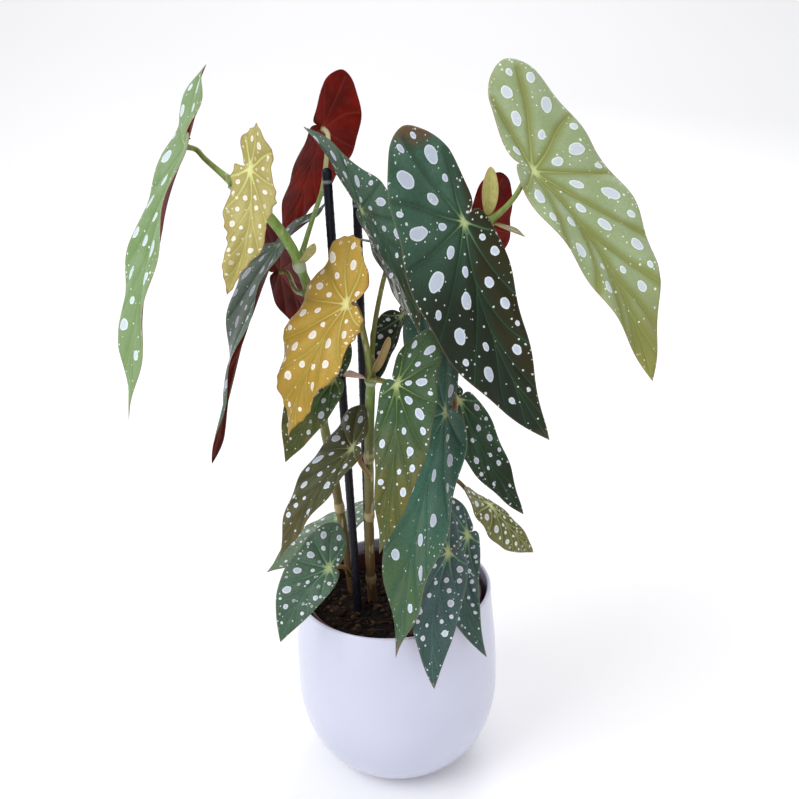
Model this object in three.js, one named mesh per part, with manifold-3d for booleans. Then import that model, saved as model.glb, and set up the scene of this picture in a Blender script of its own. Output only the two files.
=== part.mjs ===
// Potted polka dot begonia: three canes with wing-shaped leaves and two support stakes,
// rooted in a nursery pot that stands inside a rounded ceramic cover pot.
// Millimetres, +Z up, the pot's axis on Z and its foot on z = 0; the viewer stands at -Y.

import * as THREE from 'three';
import Module from 'manifold-3d';
import { mergeVertices } from 'three/addons/utils/BufferGeometryUtils.js';

const wasm = await Module();
wasm.setup();

// ---- driving dimensions ----

const potHeight = 137;
const potRadius = 72.5;
const footRadius = 30;
const bellyHeight = 62;
const rimRadius = 69;
const rimWall = 2.6;
const potFloor = 10;
const floorRadius = 43;

const nurseryTopRadius = 62.5;
const nurseryBottomRadius = 41;
const nurseryWall = 1.5;
const nurseryRimHeight = 131;
const nurseryLip = 3;

const soilHeight = 120;
const soilBump = 1.6;

const bladeThickness = 0.9;
const bladeRings = [0.42, 0.75, 1];
const bladeSpokes = 32;
const caneRadius = 3.4;
const knotRadius = 4.6;
const petioleRadius = 1.7;
const petioleGap = 0.85;
const stakeRadius = 3.2;
const gap = 0.3;
const rootDepth = 24;

const up = new THREE.Vector3(0, 0, 1);

// ---- materials ----

function material(color, roughness, metalness = 0) {
  return new THREE.MeshStandardMaterial({ color, roughness, metalness, side: THREE.DoubleSide });
}

const glaze = () => material(0xe9e7ee, 0.25);
const redPlastic = () => material(0x3a1512, 0.5);
const darkSoil = () => material(0x1c1410, 0.95);
const blackStake = () => material(0x12121c, 0.4);
const oliveStem = () => material(0x8b9a4e, 0.5);
const paleStipule = () => material(0xc9c08a, 0.6);
const leafColours = {
  dark: 0x1f4230,
  green: 0x3f5f33,
  teal: 0x2f6350,
  light: 0x8fa764,
  olive: 0x808a4a,
  gold: 0xb09536,
  brown: 0x4a4426,
  red: 0x6d1a16,
};

// ---- solids ----

function solidOf(geometry) {
  const bare = geometry.clone();
  bare.deleteAttribute('normal');
  bare.deleteAttribute('uv');
  const merged = mergeVertices(bare, 1e-4);
  return new wasm.Manifold(new wasm.Mesh({
    numProp: 3,
    vertProperties: new Float32Array(merged.attributes.position.array),
    triVerts: new Uint32Array(merged.index.array),
  }));
}

function geometryOf(solid) {
  const data = solid.getMesh();
  const geometry = new THREE.BufferGeometry();
  geometry.setAttribute('position', new THREE.BufferAttribute(data.vertProperties, 3));
  geometry.setIndex(new THREE.BufferAttribute(data.triVerts, 1));
  return geometry;
}

function named(name, geometry, look) {
  const mesh = new THREE.Mesh(geometry, look);
  mesh.name = name;
  return mesh;
}

// A round bar along a list of points; flat ends square to its path.
function bar(points, radius, steps, sides = 7) {
  const path = new THREE.CatmullRomCurve3(points.map((point) => new THREE.Vector3(...point)));
  const corners = new THREE.EllipseCurve(0, 0, radius, radius).getPoints(sides).slice(0, sides);
  const section = new THREE.Shape(corners);
  return new THREE.ExtrudeGeometry(section, { steps, extrudePath: path, curveSegments: 1 });
}

function knot(centre, radius) {
  const ball = new THREE.SphereGeometry(radius, 8, 6);
  ball.translate(...centre);
  return ball;
}

// ---- the pots and the soil ----

// Points of a turned profile are [radius, height].
function turned(profile, segments) {
  const points = profile.map(([radius, height]) => new THREE.Vector2(radius, height));
  const geometry = new THREE.LatheGeometry(points, segments);
  geometry.rotateX(Math.PI / 2);
  return geometry;
}

// Quarter of an oval from the floor circle up to the belly.
function bellyCurve(startRadius, startHeight, endRadius, endHeight, count) {
  const points = [];
  for (let i = 0; i <= count; i += 1) {
    const angle = (i / count) * (Math.PI / 2);
    const radius = startRadius + (endRadius - startRadius) * Math.sin(angle);
    const height = endHeight - (endHeight - startHeight) * Math.cos(angle);
    points.push([radius, height]);
  }
  return points;
}

function coverPot() {
  const innerRim = rimRadius - rimWall;
  const innerBelly = potRadius - 4;
  const profile = [
    [0, 0],
    ...bellyCurve(footRadius, 0, potRadius, bellyHeight, 7),
    [potRadius - 0.6, 92],
    [rimRadius + 0.9, 120],
    [rimRadius, potHeight - 1.4],
    [rimRadius - 0.5, potHeight - 0.3],
    [rimRadius - rimWall / 2, potHeight],
    [innerRim + 0.4, potHeight - 0.3],
    [innerRim, potHeight - 1.4],
    [innerRim + 0.4, 118],
    [innerBelly, 88],
    ...bellyCurve(floorRadius, potFloor, innerBelly, bellyHeight, 5).reverse(),
    [0, potFloor],
  ];
  return turned(profile, 40);
}

function nurseryPot() {
  const bottom = potFloor + gap;
  const profile = [
    [0, bottom],
    [nurseryBottomRadius, bottom],
    [nurseryTopRadius - 2.2, nurseryRimHeight - 8],
    [nurseryTopRadius, nurseryRimHeight - 7],
    [nurseryTopRadius, nurseryRimHeight],
    [nurseryTopRadius - nurseryLip, nurseryRimHeight],
    [nurseryBottomRadius - nurseryWall, bottom + 2],
    [0, bottom + 2],
  ];
  return turned(profile, 32);
}

// Low hummocks from a few crossed waves.
function hummock(x, y) {
  const first = Math.sin(x * 0.19 + 1.3) * Math.cos(y * 0.23 - 0.4);
  const second = Math.sin((x + y) * 0.31 + 2.1);
  return soilBump * (0.7 * first + 0.3 * second);
}

function soilRadiusAt(height) {
  const share = (height - potFloor) / (nurseryRimHeight - potFloor);
  const inner = nurseryBottomRadius - nurseryWall;
  return inner + (nurseryTopRadius - nurseryLip - inner) * share - 2 * gap;
}

function soilSolid(holes) {
  const bottom = potFloor + 2 + 2 * gap;
  const top = soilRadiusAt(soilHeight);
  const profile = [[0, bottom], [soilRadiusAt(bottom), bottom], [top, soilHeight]];
  for (const share of [0.8, 0.6, 0.4, 0.2]) {
    profile.push([top * share, soilHeight + 1]);
  }
  profile.push([0, soilHeight + 1]);
  const geometry = turned(profile, 32);
  const place = geometry.attributes.position;
  for (let i = 0; i < place.count; i += 1) {
    if (place.getZ(i) > soilHeight + 0.5) {
      place.setZ(i, place.getZ(i) + hummock(place.getX(i), place.getY(i)));
    }
  }
  return holes.reduce((soil, hole) => soil.subtract(hole), solidOf(geometry));
}

// ---- blades ----

// Outline of a begonia leaf in shares of its midrib's length: the midrib runs from the
// petiole at (0, 0) to the tip at (1, 0); the ear lies behind the petiole.
const notch = [-0.03, -0.028];
const narrowSide = [
  notch, [-0.035, -0.085], [0.03, -0.135], [0.13, -0.168], [0.3, -0.178], [0.5, -0.16],
  [0.74, -0.102], [0.9, -0.04], [1, 0],
];
const wideSide = [
  [1, 0], [0.9, 0.052], [0.76, 0.12], [0.6, 0.188], [0.44, 0.235], [0.26, 0.275],
  [0.08, 0.297], [-0.11, 0.303], [-0.27, 0.289], [-0.4, 0.247], [-0.475, 0.165],
  [-0.44, 0.085], [-0.35, 0.01], [-0.25, -0.038], [-0.14, -0.06], [-0.07, -0.058], notch,
];

// Outline points at even steps along both sides, without repeating the notch.
function outlineOf(sides, counts) {
  const points = [];
  sides.forEach((side, index) => {
    const curve = new THREE.SplineCurve(side.map(([u, v]) => new THREE.Vector2(u, v)));
    points.push(...curve.getSpacedPoints(counts[index]).slice(0, -1));
  });
  return points;
}

// A closed sheet: a fan of rings about (0, 0), the same triangles on both faces and a strip
// round the edge. place(u, v, ring, share) gives each point of the middle surface.
function sheet(outline, rings, place, thickness) {
  const count = outline.length;
  const middle = [place(0, 0, 0, 0)];
  for (const ring of rings) {
    outline.forEach((point, i) => middle.push(place(point.x * ring, point.y * ring, ring, i / count)));
  }
  const faces = [];
  for (let i = 0; i < count; i += 1) {
    const next = (i + 1) % count;
    faces.push([0, 1 + i, 1 + next]);
    for (let ring = 1; ring < rings.length; ring += 1) {
      const inner = 1 + (ring - 1) * count;
      const outer = 1 + ring * count;
      faces.push([inner + i, outer + i, outer + next]);
      faces.push([inner + i, outer + next, inner + next]);
    }
  }
  const open = new THREE.BufferGeometry().setFromPoints(middle);
  open.setIndex(faces.flat());
  open.computeVertexNormals();
  const normals = open.attributes.normal;
  const points = [];
  for (const side of [1, -1]) {
    middle.forEach((point, i) => {
      const normal = new THREE.Vector3().fromBufferAttribute(normals, i);
      points.push(point.clone().addScaledVector(normal, (side * thickness) / 2));
    });
  }
  const total = middle.length;
  const index = [...faces, ...faces.map(([a, b, c]) => [a + total, c + total, b + total])];
  const edge = 1 + (rings.length - 1) * count;
  for (let i = 0; i < count; i += 1) {
    const here = edge + i;
    const next = edge + ((i + 1) % count);
    index.push([here, here + total, next + total], [here, next + total, next]);
  }
  const closed = new THREE.BufferGeometry().setFromPoints(points);
  closed.setIndex(index.flat());
  return closed;
}

// Axes of a blade: along its midrib, across it and out of its upper face. With no turn the
// upper face looks as far up as the midrib's slope lets it.
function bladeAxes({ joint, tip, turn }) {
  const from = new THREE.Vector3(...joint);
  const along = new THREE.Vector3(...tip).sub(from);
  const length = along.length();
  along.normalize();
  const out = up.clone().addScaledVector(along, -up.dot(along)).normalize();
  out.applyAxisAngle(along, THREE.MathUtils.degToRad(turn));
  const across = new THREE.Vector3().crossVectors(out, along);
  return { from, length, along, across, out };
}

const plainLeaf = {
  hand: 1, wide: 1, narrow: 1, ear: 1, bow: 0.08, crown: 0.05, fold: 0.25, arch: 0.4, back: 0.25,
  twist: 0, ruffle: 0.012, waves: 9,
};

function leafGeometry(settings) {
  const leaf = { ...plainLeaf, ...settings };
  const { from, length, along, across, out } = bladeAxes(leaf);
  const place = (u, v, ring, share) => {
    const front = u > 0;
    const side = v * (v > 0 ? leaf.wide : leaf.narrow);
    const run = front ? u : u * leaf.ear;
    const crown = front ? leaf.crown * 4 * run * (1 - run) : leaf.back * run;
    const valley = leaf.fold * (Math.hypot(side, 0.02) - 0.02) - leaf.arch * side * side;
    const wave = leaf.ruffle * ring ** 3 * Math.sin(2 * Math.PI * leaf.waves * share);
    const lift = valley + wave;
    const angle = THREE.MathUtils.degToRad(leaf.twist) * run;
    const bow = leaf.bow * (front ? 4 * run * (1 - run) : run);
    const shift = side * Math.cos(angle) - lift * Math.sin(angle) + bow;
    const rise = side * Math.sin(angle) + lift * Math.cos(angle) + crown;
    return from.clone()
      .addScaledVector(along, run * length)
      .addScaledVector(across, leaf.hand * shift * length)
      .addScaledVector(out, rise * length);
  };
  const outline = outlineOf([narrowSide, wideSide], [11, bladeSpokes - 11]);
  if (leaf.hand > 0) {
    return sheet(outline, bladeRings, place, bladeThickness);
  }
  const mirrored = (u, v, ring, share) => place(u, v, ring, 1 - share);
  return sheet([...outline].reverse(), bladeRings, mirrored, bladeThickness);
}

// ---- the leaves ----

// joint and tip are the midrib's ends; turn rolls the blade about it in degrees; hand is the
// side of the wide half. Widths and bends are in shares of the plain leaf or of the midrib.
const leaves = [
  { name: 'leaf_far_left', look: 'light', joint: [-107, -25, 445], tip: [-144, -80, 300], turn: 35, hand: -1,
    wide: 0.8, narrow: 1.2, ear: 0.7, bow: 0.1, crown: 0.04, fold: 0.17, arch: 0.04, back: 0.06, twist: 15 },
  { name: 'leaf_left_small', look: 'gold', joint: [-69, -45, 433], tip: [-87, -69, 367], turn: -3,
    wide: 0.87, narrow: 1.16, ear: 0.66, bow: 0.14, back: -0.4, twist: -18, ruffle: 0.035, waves: 8 },
  { name: 'leaf_left_edge', look: 'teal', joint: [-62, 12, 381], tip: [-102, -71, 266], turn: 32,
    wide: 0.38, narrow: 1.48, ear: 0.6, bow: 0.11, crown: 0.08, fold: 0.09, arch: -0.4, back: 0.55, twist: 43 },
  { name: 'leaf_left_under', look: 'red', joint: [-68, 45, 356], tip: [-36, 83, 279], turn: -100,
    hand: -1, crown: 0.07, back: 0.08 },
  { name: 'leaf_back_top', look: 'red', joint: [-33, 52, 448], tip: [-67, 88, 369], turn: -4, hand: -1,
    wide: 0.91, narrow: 1.5, ear: 0.82, bow: 0.07, fold: 0, arch: 1.55, back: -0.31, twist: -12 },
  { name: 'leaf_front_gold', look: 'gold', joint: [-19, -60, 357], tip: [-57, -63, 278], turn: -38, hand: -1,
    wide: 1.4, narrow: 1.45, ear: 0.87, bow: 0.05, fold: 0.32, arch: 1, back: 0.07, ruffle: 0.03 },
  { name: 'leaf_top_long', look: 'dark', joint: [-9, -6, 402], tip: [21, -77, 341], turn: 98,
    wide: 1.1, narrow: 0.75, ear: 1.5, bow: 0.1, crown: -0.01, fold: 0.04, arch: 0.13, back: -0.05, twist: -46 },
  { name: 'leaf_right_large', look: 'dark', joint: [49, -55, 400], tip: [92, -92, 281], turn: 22, hand: -1,
    wide: 1.22, narrow: 0.9, ear: 0.93, bow: 0.11, crown: 0.07, fold: 0.18, arch: -0.1, back: -0.1 },
  { name: 'leaf_front_green', look: 'green', joint: [7, -75, 313], tip: [-7, -124, 231], turn: 15,
    wide: 0.93, narrow: 0.7, ear: 0.76, crown: 0.09, arch: 0.54, back: 0.35 },
  { name: 'leaf_right_top', look: 'olive', joint: [91, -35, 424], tip: [149, -88, 311], turn: 10,
    wide: 1.2, narrow: 1.1, ear: 1.05, crown: 0.03, fold: 0.28, back: 0 },
  { name: 'leaf_front_long', look: 'teal', joint: [36, -56, 287], tip: [0, -84, 134], turn: 12, hand: -1,
    wide: 1, narrow: 1.4, ear: 0.85, bow: 0.03, crown: 0.01, arch: 0.4, back: -0.2 },
  { name: 'leaf_right_middle', look: 'dark', joint: [50, 6, 272], tip: [90, -14, 194], turn: 26, hand: -1,
    wide: 0.8, ear: 0.6, crown: 0.06, fold: 0.2, arch: 0.6, back: 0.2 },
  { name: 'leaf_right_low', look: 'olive', joint: [71, 15, 188], tip: [103, 20, 145], turn: 22, hand: -1,
    wide: 1.22, narrow: 0.92, bow: 0.12, fold: 0.1, arch: 1, twist: -55 },
  { name: 'leaf_over_rim', look: 'teal', joint: [36, -55, 191], tip: [22, -97, 119], turn: -30, hand: -1,
    wide: 0.82, narrow: 1.09, ear: 0.89, crown: 0.06, back: 0.34 },
  { name: 'leaf_left_brown', look: 'brown', joint: [-21, -54, 266], tip: [-67, -88, 210], turn: 3, hand: -1,
    wide: 1.07, narrow: 1.07, ear: 0.7, bow: 0.05, crown: 0.04, fold: 0.19, arch: 0.56, back: -0.1 },
  { name: 'leaf_behind_gold', look: 'green', joint: [-31, -30, 303], tip: [-64, -42, 253], turn: -50,
    hand: -1, wide: 1.25, narrow: 1.09, bow: 0.02, back: 0.15 },
  { name: 'leaf_soil_left', look: 'teal', joint: [-40, 61, 160], tip: [-94, 28, 134], turn: 7,
    wide: 1.4, narrow: 1.15, arch: 0.6, back: 0.1, twist: -20 },
  { name: 'leaf_rim_left', look: 'teal', joint: [-41, -50, 181], tip: [-74, -71, 141], turn: -60, hand: -1,
    wide: 1.4, narrow: 1.14, crown: 0.07, back: 0.35 },
  { name: 'leaf_rim_right', look: 'teal', joint: [51, -30, 189], tip: [59, -66, 118], turn: -8, hand: -1,
    wide: 0.85, narrow: 0.75, ear: 0.7, bow: 0.13, crown: 0.02, arch: 0, back: 0.3, twist: -15 },
  { name: 'leaf_back_small', look: 'teal', joint: [9, 22, 372], tip: [-17, 8, 382], turn: 0 },
  { name: 'leaf_centre_dark', look: 'dark', joint: [14, 14, 330], tip: [-7, -8, 288], turn: 8,
    narrow: 1.5, fold: 0.46, arch: -0.7 },
  { name: 'leaf_back_red', look: 'red', joint: [62, -4, 393], tip: [51, 40, 339], turn: 0, hand: -1,
    crown: -0.05, fold: -0.25, arch: -0.4, back: -0.25 },
];

// ---- canes and petioles ----

function atBlade(leafName, distance) {
  const leaf = leaves.find(({ name }) => name === leafName);
  const { from, out } = bladeAxes(leaf);
  return from.addScaledVector(out, -distance).toArray();
}

// The petiole leaves its cane, passes the given points and meets the blade's underside squarely.
function petiole({ leaf, points, clear = petioleGap }) {
  const end = bladeThickness / 2 + clear;
  return bar([...points, atBlade(leaf, 6), atBlade(leaf, end)], petioleRadius, 2 * points.length + 2, 6);
}

const canes = [
  {
    name: 'cane_left',
    stem: [[-31, 19, 121], [-34, 20, 163], [-39, 17, 220], [-44, 10, 275], [-45, 2, 319], [-45, -4, 354],
      [-49, -8, 370], [-52, -12, 381], [-62, -25, 402], [-80, -38, 425]],
    knots: [[-49, -8, 370], [-80, -38, 425]],
    petioles: [
      { leaf: 'leaf_far_left', points: [[-80, -38, 425], [-86, -36, 430], [-96, -29, 438]] },
      { leaf: 'leaf_left_small', points: [[-80, -38, 425], [-75, -40, 428]] },
      { leaf: 'leaf_left_edge', points: [[-49, -8, 370], [-52, 4, 371]], clear: 1.25 },
      { leaf: 'leaf_left_under', points: [[-46, -6, 352], [-54, 12, 350]] },
      { leaf: 'leaf_back_top', points: [[-49, -8, 372], [-40, 12, 396], [-34, 30, 411], [-31, 41, 427]] },
      { leaf: 'leaf_behind_gold', points: [[-43, 11, 271], [-36, -8, 287]] },
      { leaf: 'leaf_soil_left', points: [[-33, 20, 146], [-36, 36, 150]] },
      { leaf: 'leaf_rim_left', points: [[-32, 19, 135], [-34, -14, 160]] },
    ],
  },
  {
    name: 'cane_centre',
    stem: [[-16, 4, 121], [-16, -3, 158], [-14, -10, 208], [-12, -20, 249], [-10, -31, 281], [-8, -43, 306]],
    knots: [[-8, -43, 306]],
    petioles: [
      { leaf: 'leaf_front_gold', points: [[-8, -43, 306], [-10, -50, 331]] },
      { leaf: 'leaf_front_green', points: [[-8, -43, 306], [-2, -56, 309]] },
      { leaf: 'leaf_left_brown', points: [[-13, -16, 230], [-18, -30, 246]] },
      { leaf: 'leaf_back_small', points: [[-8, -43, 306], [-5, -24, 330], [2, 4, 354]] },
    ],
  },
  {
    name: 'cane_right',
    stem: [[9, 37, 121], [15, 30, 165], [24, 27, 216], [35, 24, 277], [44, 18, 309], [53, 4, 345],
      [61, -15, 377], [66, -26, 395]],
    knots: [[44, 18, 309], [66, -26, 395]],
    petioles: [
      { leaf: 'leaf_right_large', points: [[66, -26, 395], [59, -38, 394]] },
      { leaf: 'leaf_right_top', points: [[66, -26, 395], [73, -27, 400], [81, -30, 409]] },
      { leaf: 'leaf_top_long', points: [[44, 18, 309], [34, 10, 346], [8, 5, 388]], clear: 1 },
      { leaf: 'leaf_front_long', points: [[44, 18, 309], [41, -18, 308]] },
      { leaf: 'leaf_right_middle', points: [[34, 24, 272], [43, 18, 268]] },
      { leaf: 'leaf_centre_dark', points: [[44, 18, 309], [30, 20, 326]] },
      { leaf: 'leaf_right_low', points: [[22, 27, 205], [46, 21, 207]] },
      { leaf: 'leaf_over_rim', points: [[12, 32, 148], [12, -18, 172], [20, -46, 186]] },
      { leaf: 'leaf_rim_right', points: [[14, 31, 157], [36, -4, 180]] },
      { leaf: 'leaf_back_red', points: [[66, -26, 393], [67, -16, 393]] },
    ],
  },
];

function stemBar(stem, radius, deeper = 0) {
  const [x, y] = stem[0];
  return bar([[x, y, soilHeight - rootDepth - deeper], ...stem], radius, 2 * stem.length, 8);
}

function caneSolid({ stem, knots, petioles }) {
  const solids = [
    solidOf(stemBar(stem, caneRadius)),
    ...knots.map((centre) => solidOf(knot(centre, knotRadius))),
    ...petioles.map((one) => solidOf(petiole(one))),
  ];
  return solids.reduce((whole, solid) => whole.add(solid));
}

// The same stem, slightly thicker and deeper, cuts its hole in the soil.
function stemHole({ stem }) {
  return solidOf(stemBar(stem, caneRadius + 1.5 * gap, gap));
}

// ---- stakes ----

const stakes = [
  { name: 'stake_main', foot: [-26, -10, 96], top: [-29, 5, 427] },
  { name: 'stake_second', foot: [-19, 39, 96], top: [-12, 34, 408] },
];

function stakeHole({ foot: [x, y, z], top }) {
  return solidOf(bar([[x, y, z - gap], top], stakeRadius + 1.5 * gap, 1, 12));
}

// ---- stipules ----

// A small pointed sheath: an oval cupped along its length.
const stipules = [
  { name: 'stipule_centre_up', knot: [-8, -43, 306], tip: [4, -55, 335], turn: 180, width: 4.4 },
  { name: 'stipule_centre_left', knot: [-8, -43, 306], tip: [-24, -50, 311], turn: 0, width: 6 },
  { name: 'stipule_right_up', knot: [66, -26, 395], tip: [67, -31, 427], turn: 180, width: 5 },
  { name: 'stipule_right_side', knot: [66, -26, 395], tip: [87, -31, 386], turn: 0, width: 5 },
  { name: 'stipule_left', knot: [-49, -8, 370], tip: [-38, -24, 386], turn: 180, width: 4.2 },
];

function stipuleGeometry({ knot: centre, tip, turn, width }) {
  const inner = new THREE.Vector3(...centre);
  const reach = new THREE.Vector3(...tip).sub(inner).setLength(knotRadius + gap);
  const joint = inner.add(reach).toArray();
  const { from, length, along, across, out } = bladeAxes({ joint, tip, turn });
  const count = 12;
  const outline = [];
  for (let i = 0; i < count; i += 1) {
    const angle = (2 * Math.PI * i) / count;
    outline.push(new THREE.Vector2(0.5 * Math.cos(angle), 0.5 * Math.sin(angle)));
  }
  const place = (u, v) => {
    const side = v * 2 * width;
    const cup = 0.06 * side * side;
    return from.clone()
      .addScaledVector(along, (u + 0.5) * length)
      .addScaledVector(across, side)
      .addScaledVector(out, cup);
  };
  return sheet(outline, [0.6, 1], place, bladeThickness);
}

// ---- assembly ----

const plant = new THREE.Group();
plant.add(named('cover_pot', coverPot(), glaze()));
plant.add(named('nursery_pot', nurseryPot(), redPlastic()));

const holes = [
  ...canes.map(stemHole),
  ...stakes.map(stakeHole),
];
plant.add(named('soil', geometryOf(soilSolid(holes)), darkSoil()));

for (const stake of stakes) {
  plant.add(named(stake.name, bar([stake.foot, stake.top], stakeRadius, 1, 12), blackStake()));
}
for (const cane of canes) {
  plant.add(named(cane.name, geometryOf(caneSolid(cane)), oliveStem()));
}
for (const stipule of stipules) {
  plant.add(named(stipule.name, stipuleGeometry(stipule), paleStipule()));
}
for (const leaf of leaves) {
  plant.add(named(leaf.name, leafGeometry(leaf), material(leafColours[leaf.look], 0.45)));
}

export default plant;
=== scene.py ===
"""Potted polka dot begonia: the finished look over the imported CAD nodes.

Metres, +Z up, the viewer at -Y.  Lengths in the tables are millimetres, as in the CAD source.
"""
import math
import bpy
import numpy as np
from mathutils import Matrix, Vector
from mathutils.geometry import delaunay_2d_cdt


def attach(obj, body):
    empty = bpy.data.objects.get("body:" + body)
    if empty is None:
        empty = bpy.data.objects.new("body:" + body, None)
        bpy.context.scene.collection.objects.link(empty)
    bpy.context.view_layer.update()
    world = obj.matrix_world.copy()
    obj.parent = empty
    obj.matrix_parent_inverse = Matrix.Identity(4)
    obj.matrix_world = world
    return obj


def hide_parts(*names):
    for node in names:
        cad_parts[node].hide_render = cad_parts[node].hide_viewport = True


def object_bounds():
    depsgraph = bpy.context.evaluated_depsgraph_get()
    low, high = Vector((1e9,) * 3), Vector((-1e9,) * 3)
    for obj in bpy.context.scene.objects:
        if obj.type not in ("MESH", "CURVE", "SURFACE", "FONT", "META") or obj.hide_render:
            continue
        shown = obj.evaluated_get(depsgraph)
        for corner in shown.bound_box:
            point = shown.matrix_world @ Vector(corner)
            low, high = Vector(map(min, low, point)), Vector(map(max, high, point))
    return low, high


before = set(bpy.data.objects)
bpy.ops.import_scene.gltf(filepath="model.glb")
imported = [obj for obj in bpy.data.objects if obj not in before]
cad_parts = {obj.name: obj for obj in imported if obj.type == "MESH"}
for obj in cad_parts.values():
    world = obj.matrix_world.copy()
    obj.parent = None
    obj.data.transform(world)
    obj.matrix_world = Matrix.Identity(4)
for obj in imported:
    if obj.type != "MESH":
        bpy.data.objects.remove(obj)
CAD_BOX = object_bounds()
MM = 0.001
TURN = 2 * math.pi

# ---------------------------------------------------------------- node helpers


def linear(hex_colour):
    parts = [int(hex_colour[i:i + 2], 16) / 255 for i in (0, 2, 4)]
    return tuple(c / 12.92 if c <= 0.04045 else ((c + 0.055) / 1.055) ** 2.4 for c in parts)


class Graph:
    """Short names for building a material's nodes.  A colour may be given as a hex string."""

    def __init__(self, name):
        self.mat = bpy.data.materials.new(name)
        self.mat.use_nodes = True
        self.tree = self.mat.node_tree

    def feed(self, made, inputs):
        """Link or set a node's inputs, given by name or by number."""
        for key, value in inputs.items():
            if isinstance(value, bpy.types.NodeSocket):
                self.tree.links.new(value, made.inputs[key])
            else:
                made.inputs[key].default_value = (*linear(value), 1) if isinstance(value, str) else value

    def node(self, kind, inputs, **settings):
        made = self.tree.nodes.new(kind)
        for key, value in settings.items():
            setattr(made, key, value)
        self.feed(made, inputs)
        return made

    def math(self, operation, *values):
        return self.node("ShaderNodeMath", dict(enumerate(values)), operation=operation).outputs[0]

    def times(self, first, second):
        return self.math("MULTIPLY", first, second)

    def plus(self, first, second):
        return self.math("ADD", first, second)

    def minus(self, first, second):
        return self.math("SUBTRACT", first, second)

    def grade(self, value, amount, start):
        return self.plus(self.times(value, amount), start)

    def attributes(self, *names):
        return [self.node("ShaderNodeAttribute", {}, attribute_name=name).outputs["Fac"] for name in names]

    def flat(self):
        """A leaf's own flat coordinates, in decimetres from its joint."""
        return self.node("ShaderNodeAttribute", {}, attribute_name="flat").outputs["Vector"]

    def object_place(self):
        return self.node("ShaderNodeTexCoord", {}).outputs["Object"]

    def step(self, value, low, high, out_low=0.0, out_high=1.0):
        inputs = dict(enumerate((value, low, high, out_low, out_high)))
        return self.node("ShaderNodeMapRange", inputs, interpolation_type="SMOOTHSTEP").outputs[0]

    def mix(self, share, first, second):
        return self.node("ShaderNodeMix", {0: share, 6: first, 7: second}, data_type="RGBA").outputs[2]

    def tint(self, color, other, share, amount):
        """Lay another colour over a colour by a share, at most by amount."""
        return self.mix(self.times(share, amount), color, other)

    def noise(self, vector, scale, detail=3.0):
        inputs = {"Vector": vector, "Scale": scale, "Detail": detail}
        return self.node("ShaderNodeTexNoise", inputs).outputs[0]

    def stretched(self, vector, scale):
        return self.node("ShaderNodeMapping", {"Vector": vector, "Scale": scale}).outputs[0]

    def cells(self, vector, scale, dimensions="3D"):
        """Distance to the nearest of scattered centres, and two random numbers for that centre."""
        inputs = {"Vector": vector, "Scale": scale}
        made = self.node("ShaderNodeTexVoronoi", inputs, feature="F1", voronoi_dimensions=dimensions)
        pick = self.node("ShaderNodeSeparateColor", {0: made.outputs["Color"]})
        return made.outputs["Distance"], pick.outputs[0], pick.outputs[1]

    def finish(self, color, roughness, specular, relief=None, coat=None):
        """Set the surface.  relief: a bump's height, distance and strength.  coat: its weight and roughness."""
        inputs = {"Base Color": color, "Roughness": roughness, "Specular IOR Level": specular}
        if relief:
            bump = self.node("ShaderNodeBump", dict(zip(("Height", "Distance", "Strength"), relief)))
            inputs["Normal"] = bump.outputs[0]
        if coat:
            inputs["Coat Weight"], inputs["Coat Roughness"] = coat
        self.feed(self.tree.nodes["Principled BSDF"], inputs)
        return self.mat


# ---------------------------------------------------------------- mesh helpers


def make_object(name, points, faces, materials, kinds=None, attributes=None):
    mesh = bpy.data.meshes.new(name)
    mesh.from_pydata([tuple(p) for p in points], [], [tuple(int(i) for i in f) for f in faces])
    mesh.update()
    for material in materials:
        mesh.materials.append(material)
    if kinds is not None:
        mesh.polygons.foreach_set("material_index", np.asarray(kinds, dtype=np.int32))
    mesh.polygons.foreach_set("use_smooth", np.ones(len(mesh.polygons), dtype=bool))
    for key, values in (attributes or {}).items():
        values = np.asarray(values, dtype=np.float32)
        kind, field = ("FLOAT", "value") if values.ndim == 1 else ("FLOAT_VECTOR", "vector")
        mesh.attributes.new(key, kind, "POINT").data.foreach_set(field, values.ravel())
    made = bpy.data.objects.new(name, mesh)
    bpy.context.collection.objects.link(made)
    return made


def place(obj, slot_name, *nodes):
    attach(obj, "root")
    if nodes:
        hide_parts(*nodes)


def circle(radius, count):
    return [(radius * math.cos(TURN * k / count), radius * math.sin(TURN * k / count)) for k in range(count)]


def fan(centre, start, count, down=False):
    """Triangles between a centre and a closed ring of count points that starts at start."""
    pairs = [(start + k, start + (k + 1) % count) for k in range(count)]
    return [(centre, b, a) if down else (centre, a, b) for a, b in pairs]


def band(low, high, count, inward=False):
    """Quads between two closed rings of count points that start at low and at high."""
    quads = [(low + k, low + (k + 1) % count, high + (k + 1) % count, high + k) for k in range(count)]
    return [(a, d, c, b) for a, b, c, d in quads] if inward else quads


def turned(name, profile, segments, material):
    """Surface of revolution of (radius, height) points in mm, whose ends lie on the axis."""
    points, faces, rows = [], [], []
    for radius, height in profile:
        rows.append((len(points), radius == 0))
        ring = circle(radius * MM, segments) if radius else [(0, 0)]
        points += [(x, y, height * MM) for x, y in ring]
    for (low, starts), (high, ends) in zip(rows, rows[1:]):
        if starts:
            faces += fan(low, high, segments, down=True)
        elif ends:
            faces += fan(high, low, segments)
        else:
            faces += band(low, high, segments)
    return make_object(name, points, faces, [material])


def spans(points):
    """Four neighbouring points for each span of a curve, its ends reflected."""
    pts = [np.array(p, float) for p in points]
    ring = [2 * pts[0] - pts[1]] + pts + [2 * pts[-1] - pts[-2]]
    return [ring[k:k + 4] for k in range(len(ring) - 3)]


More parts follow.
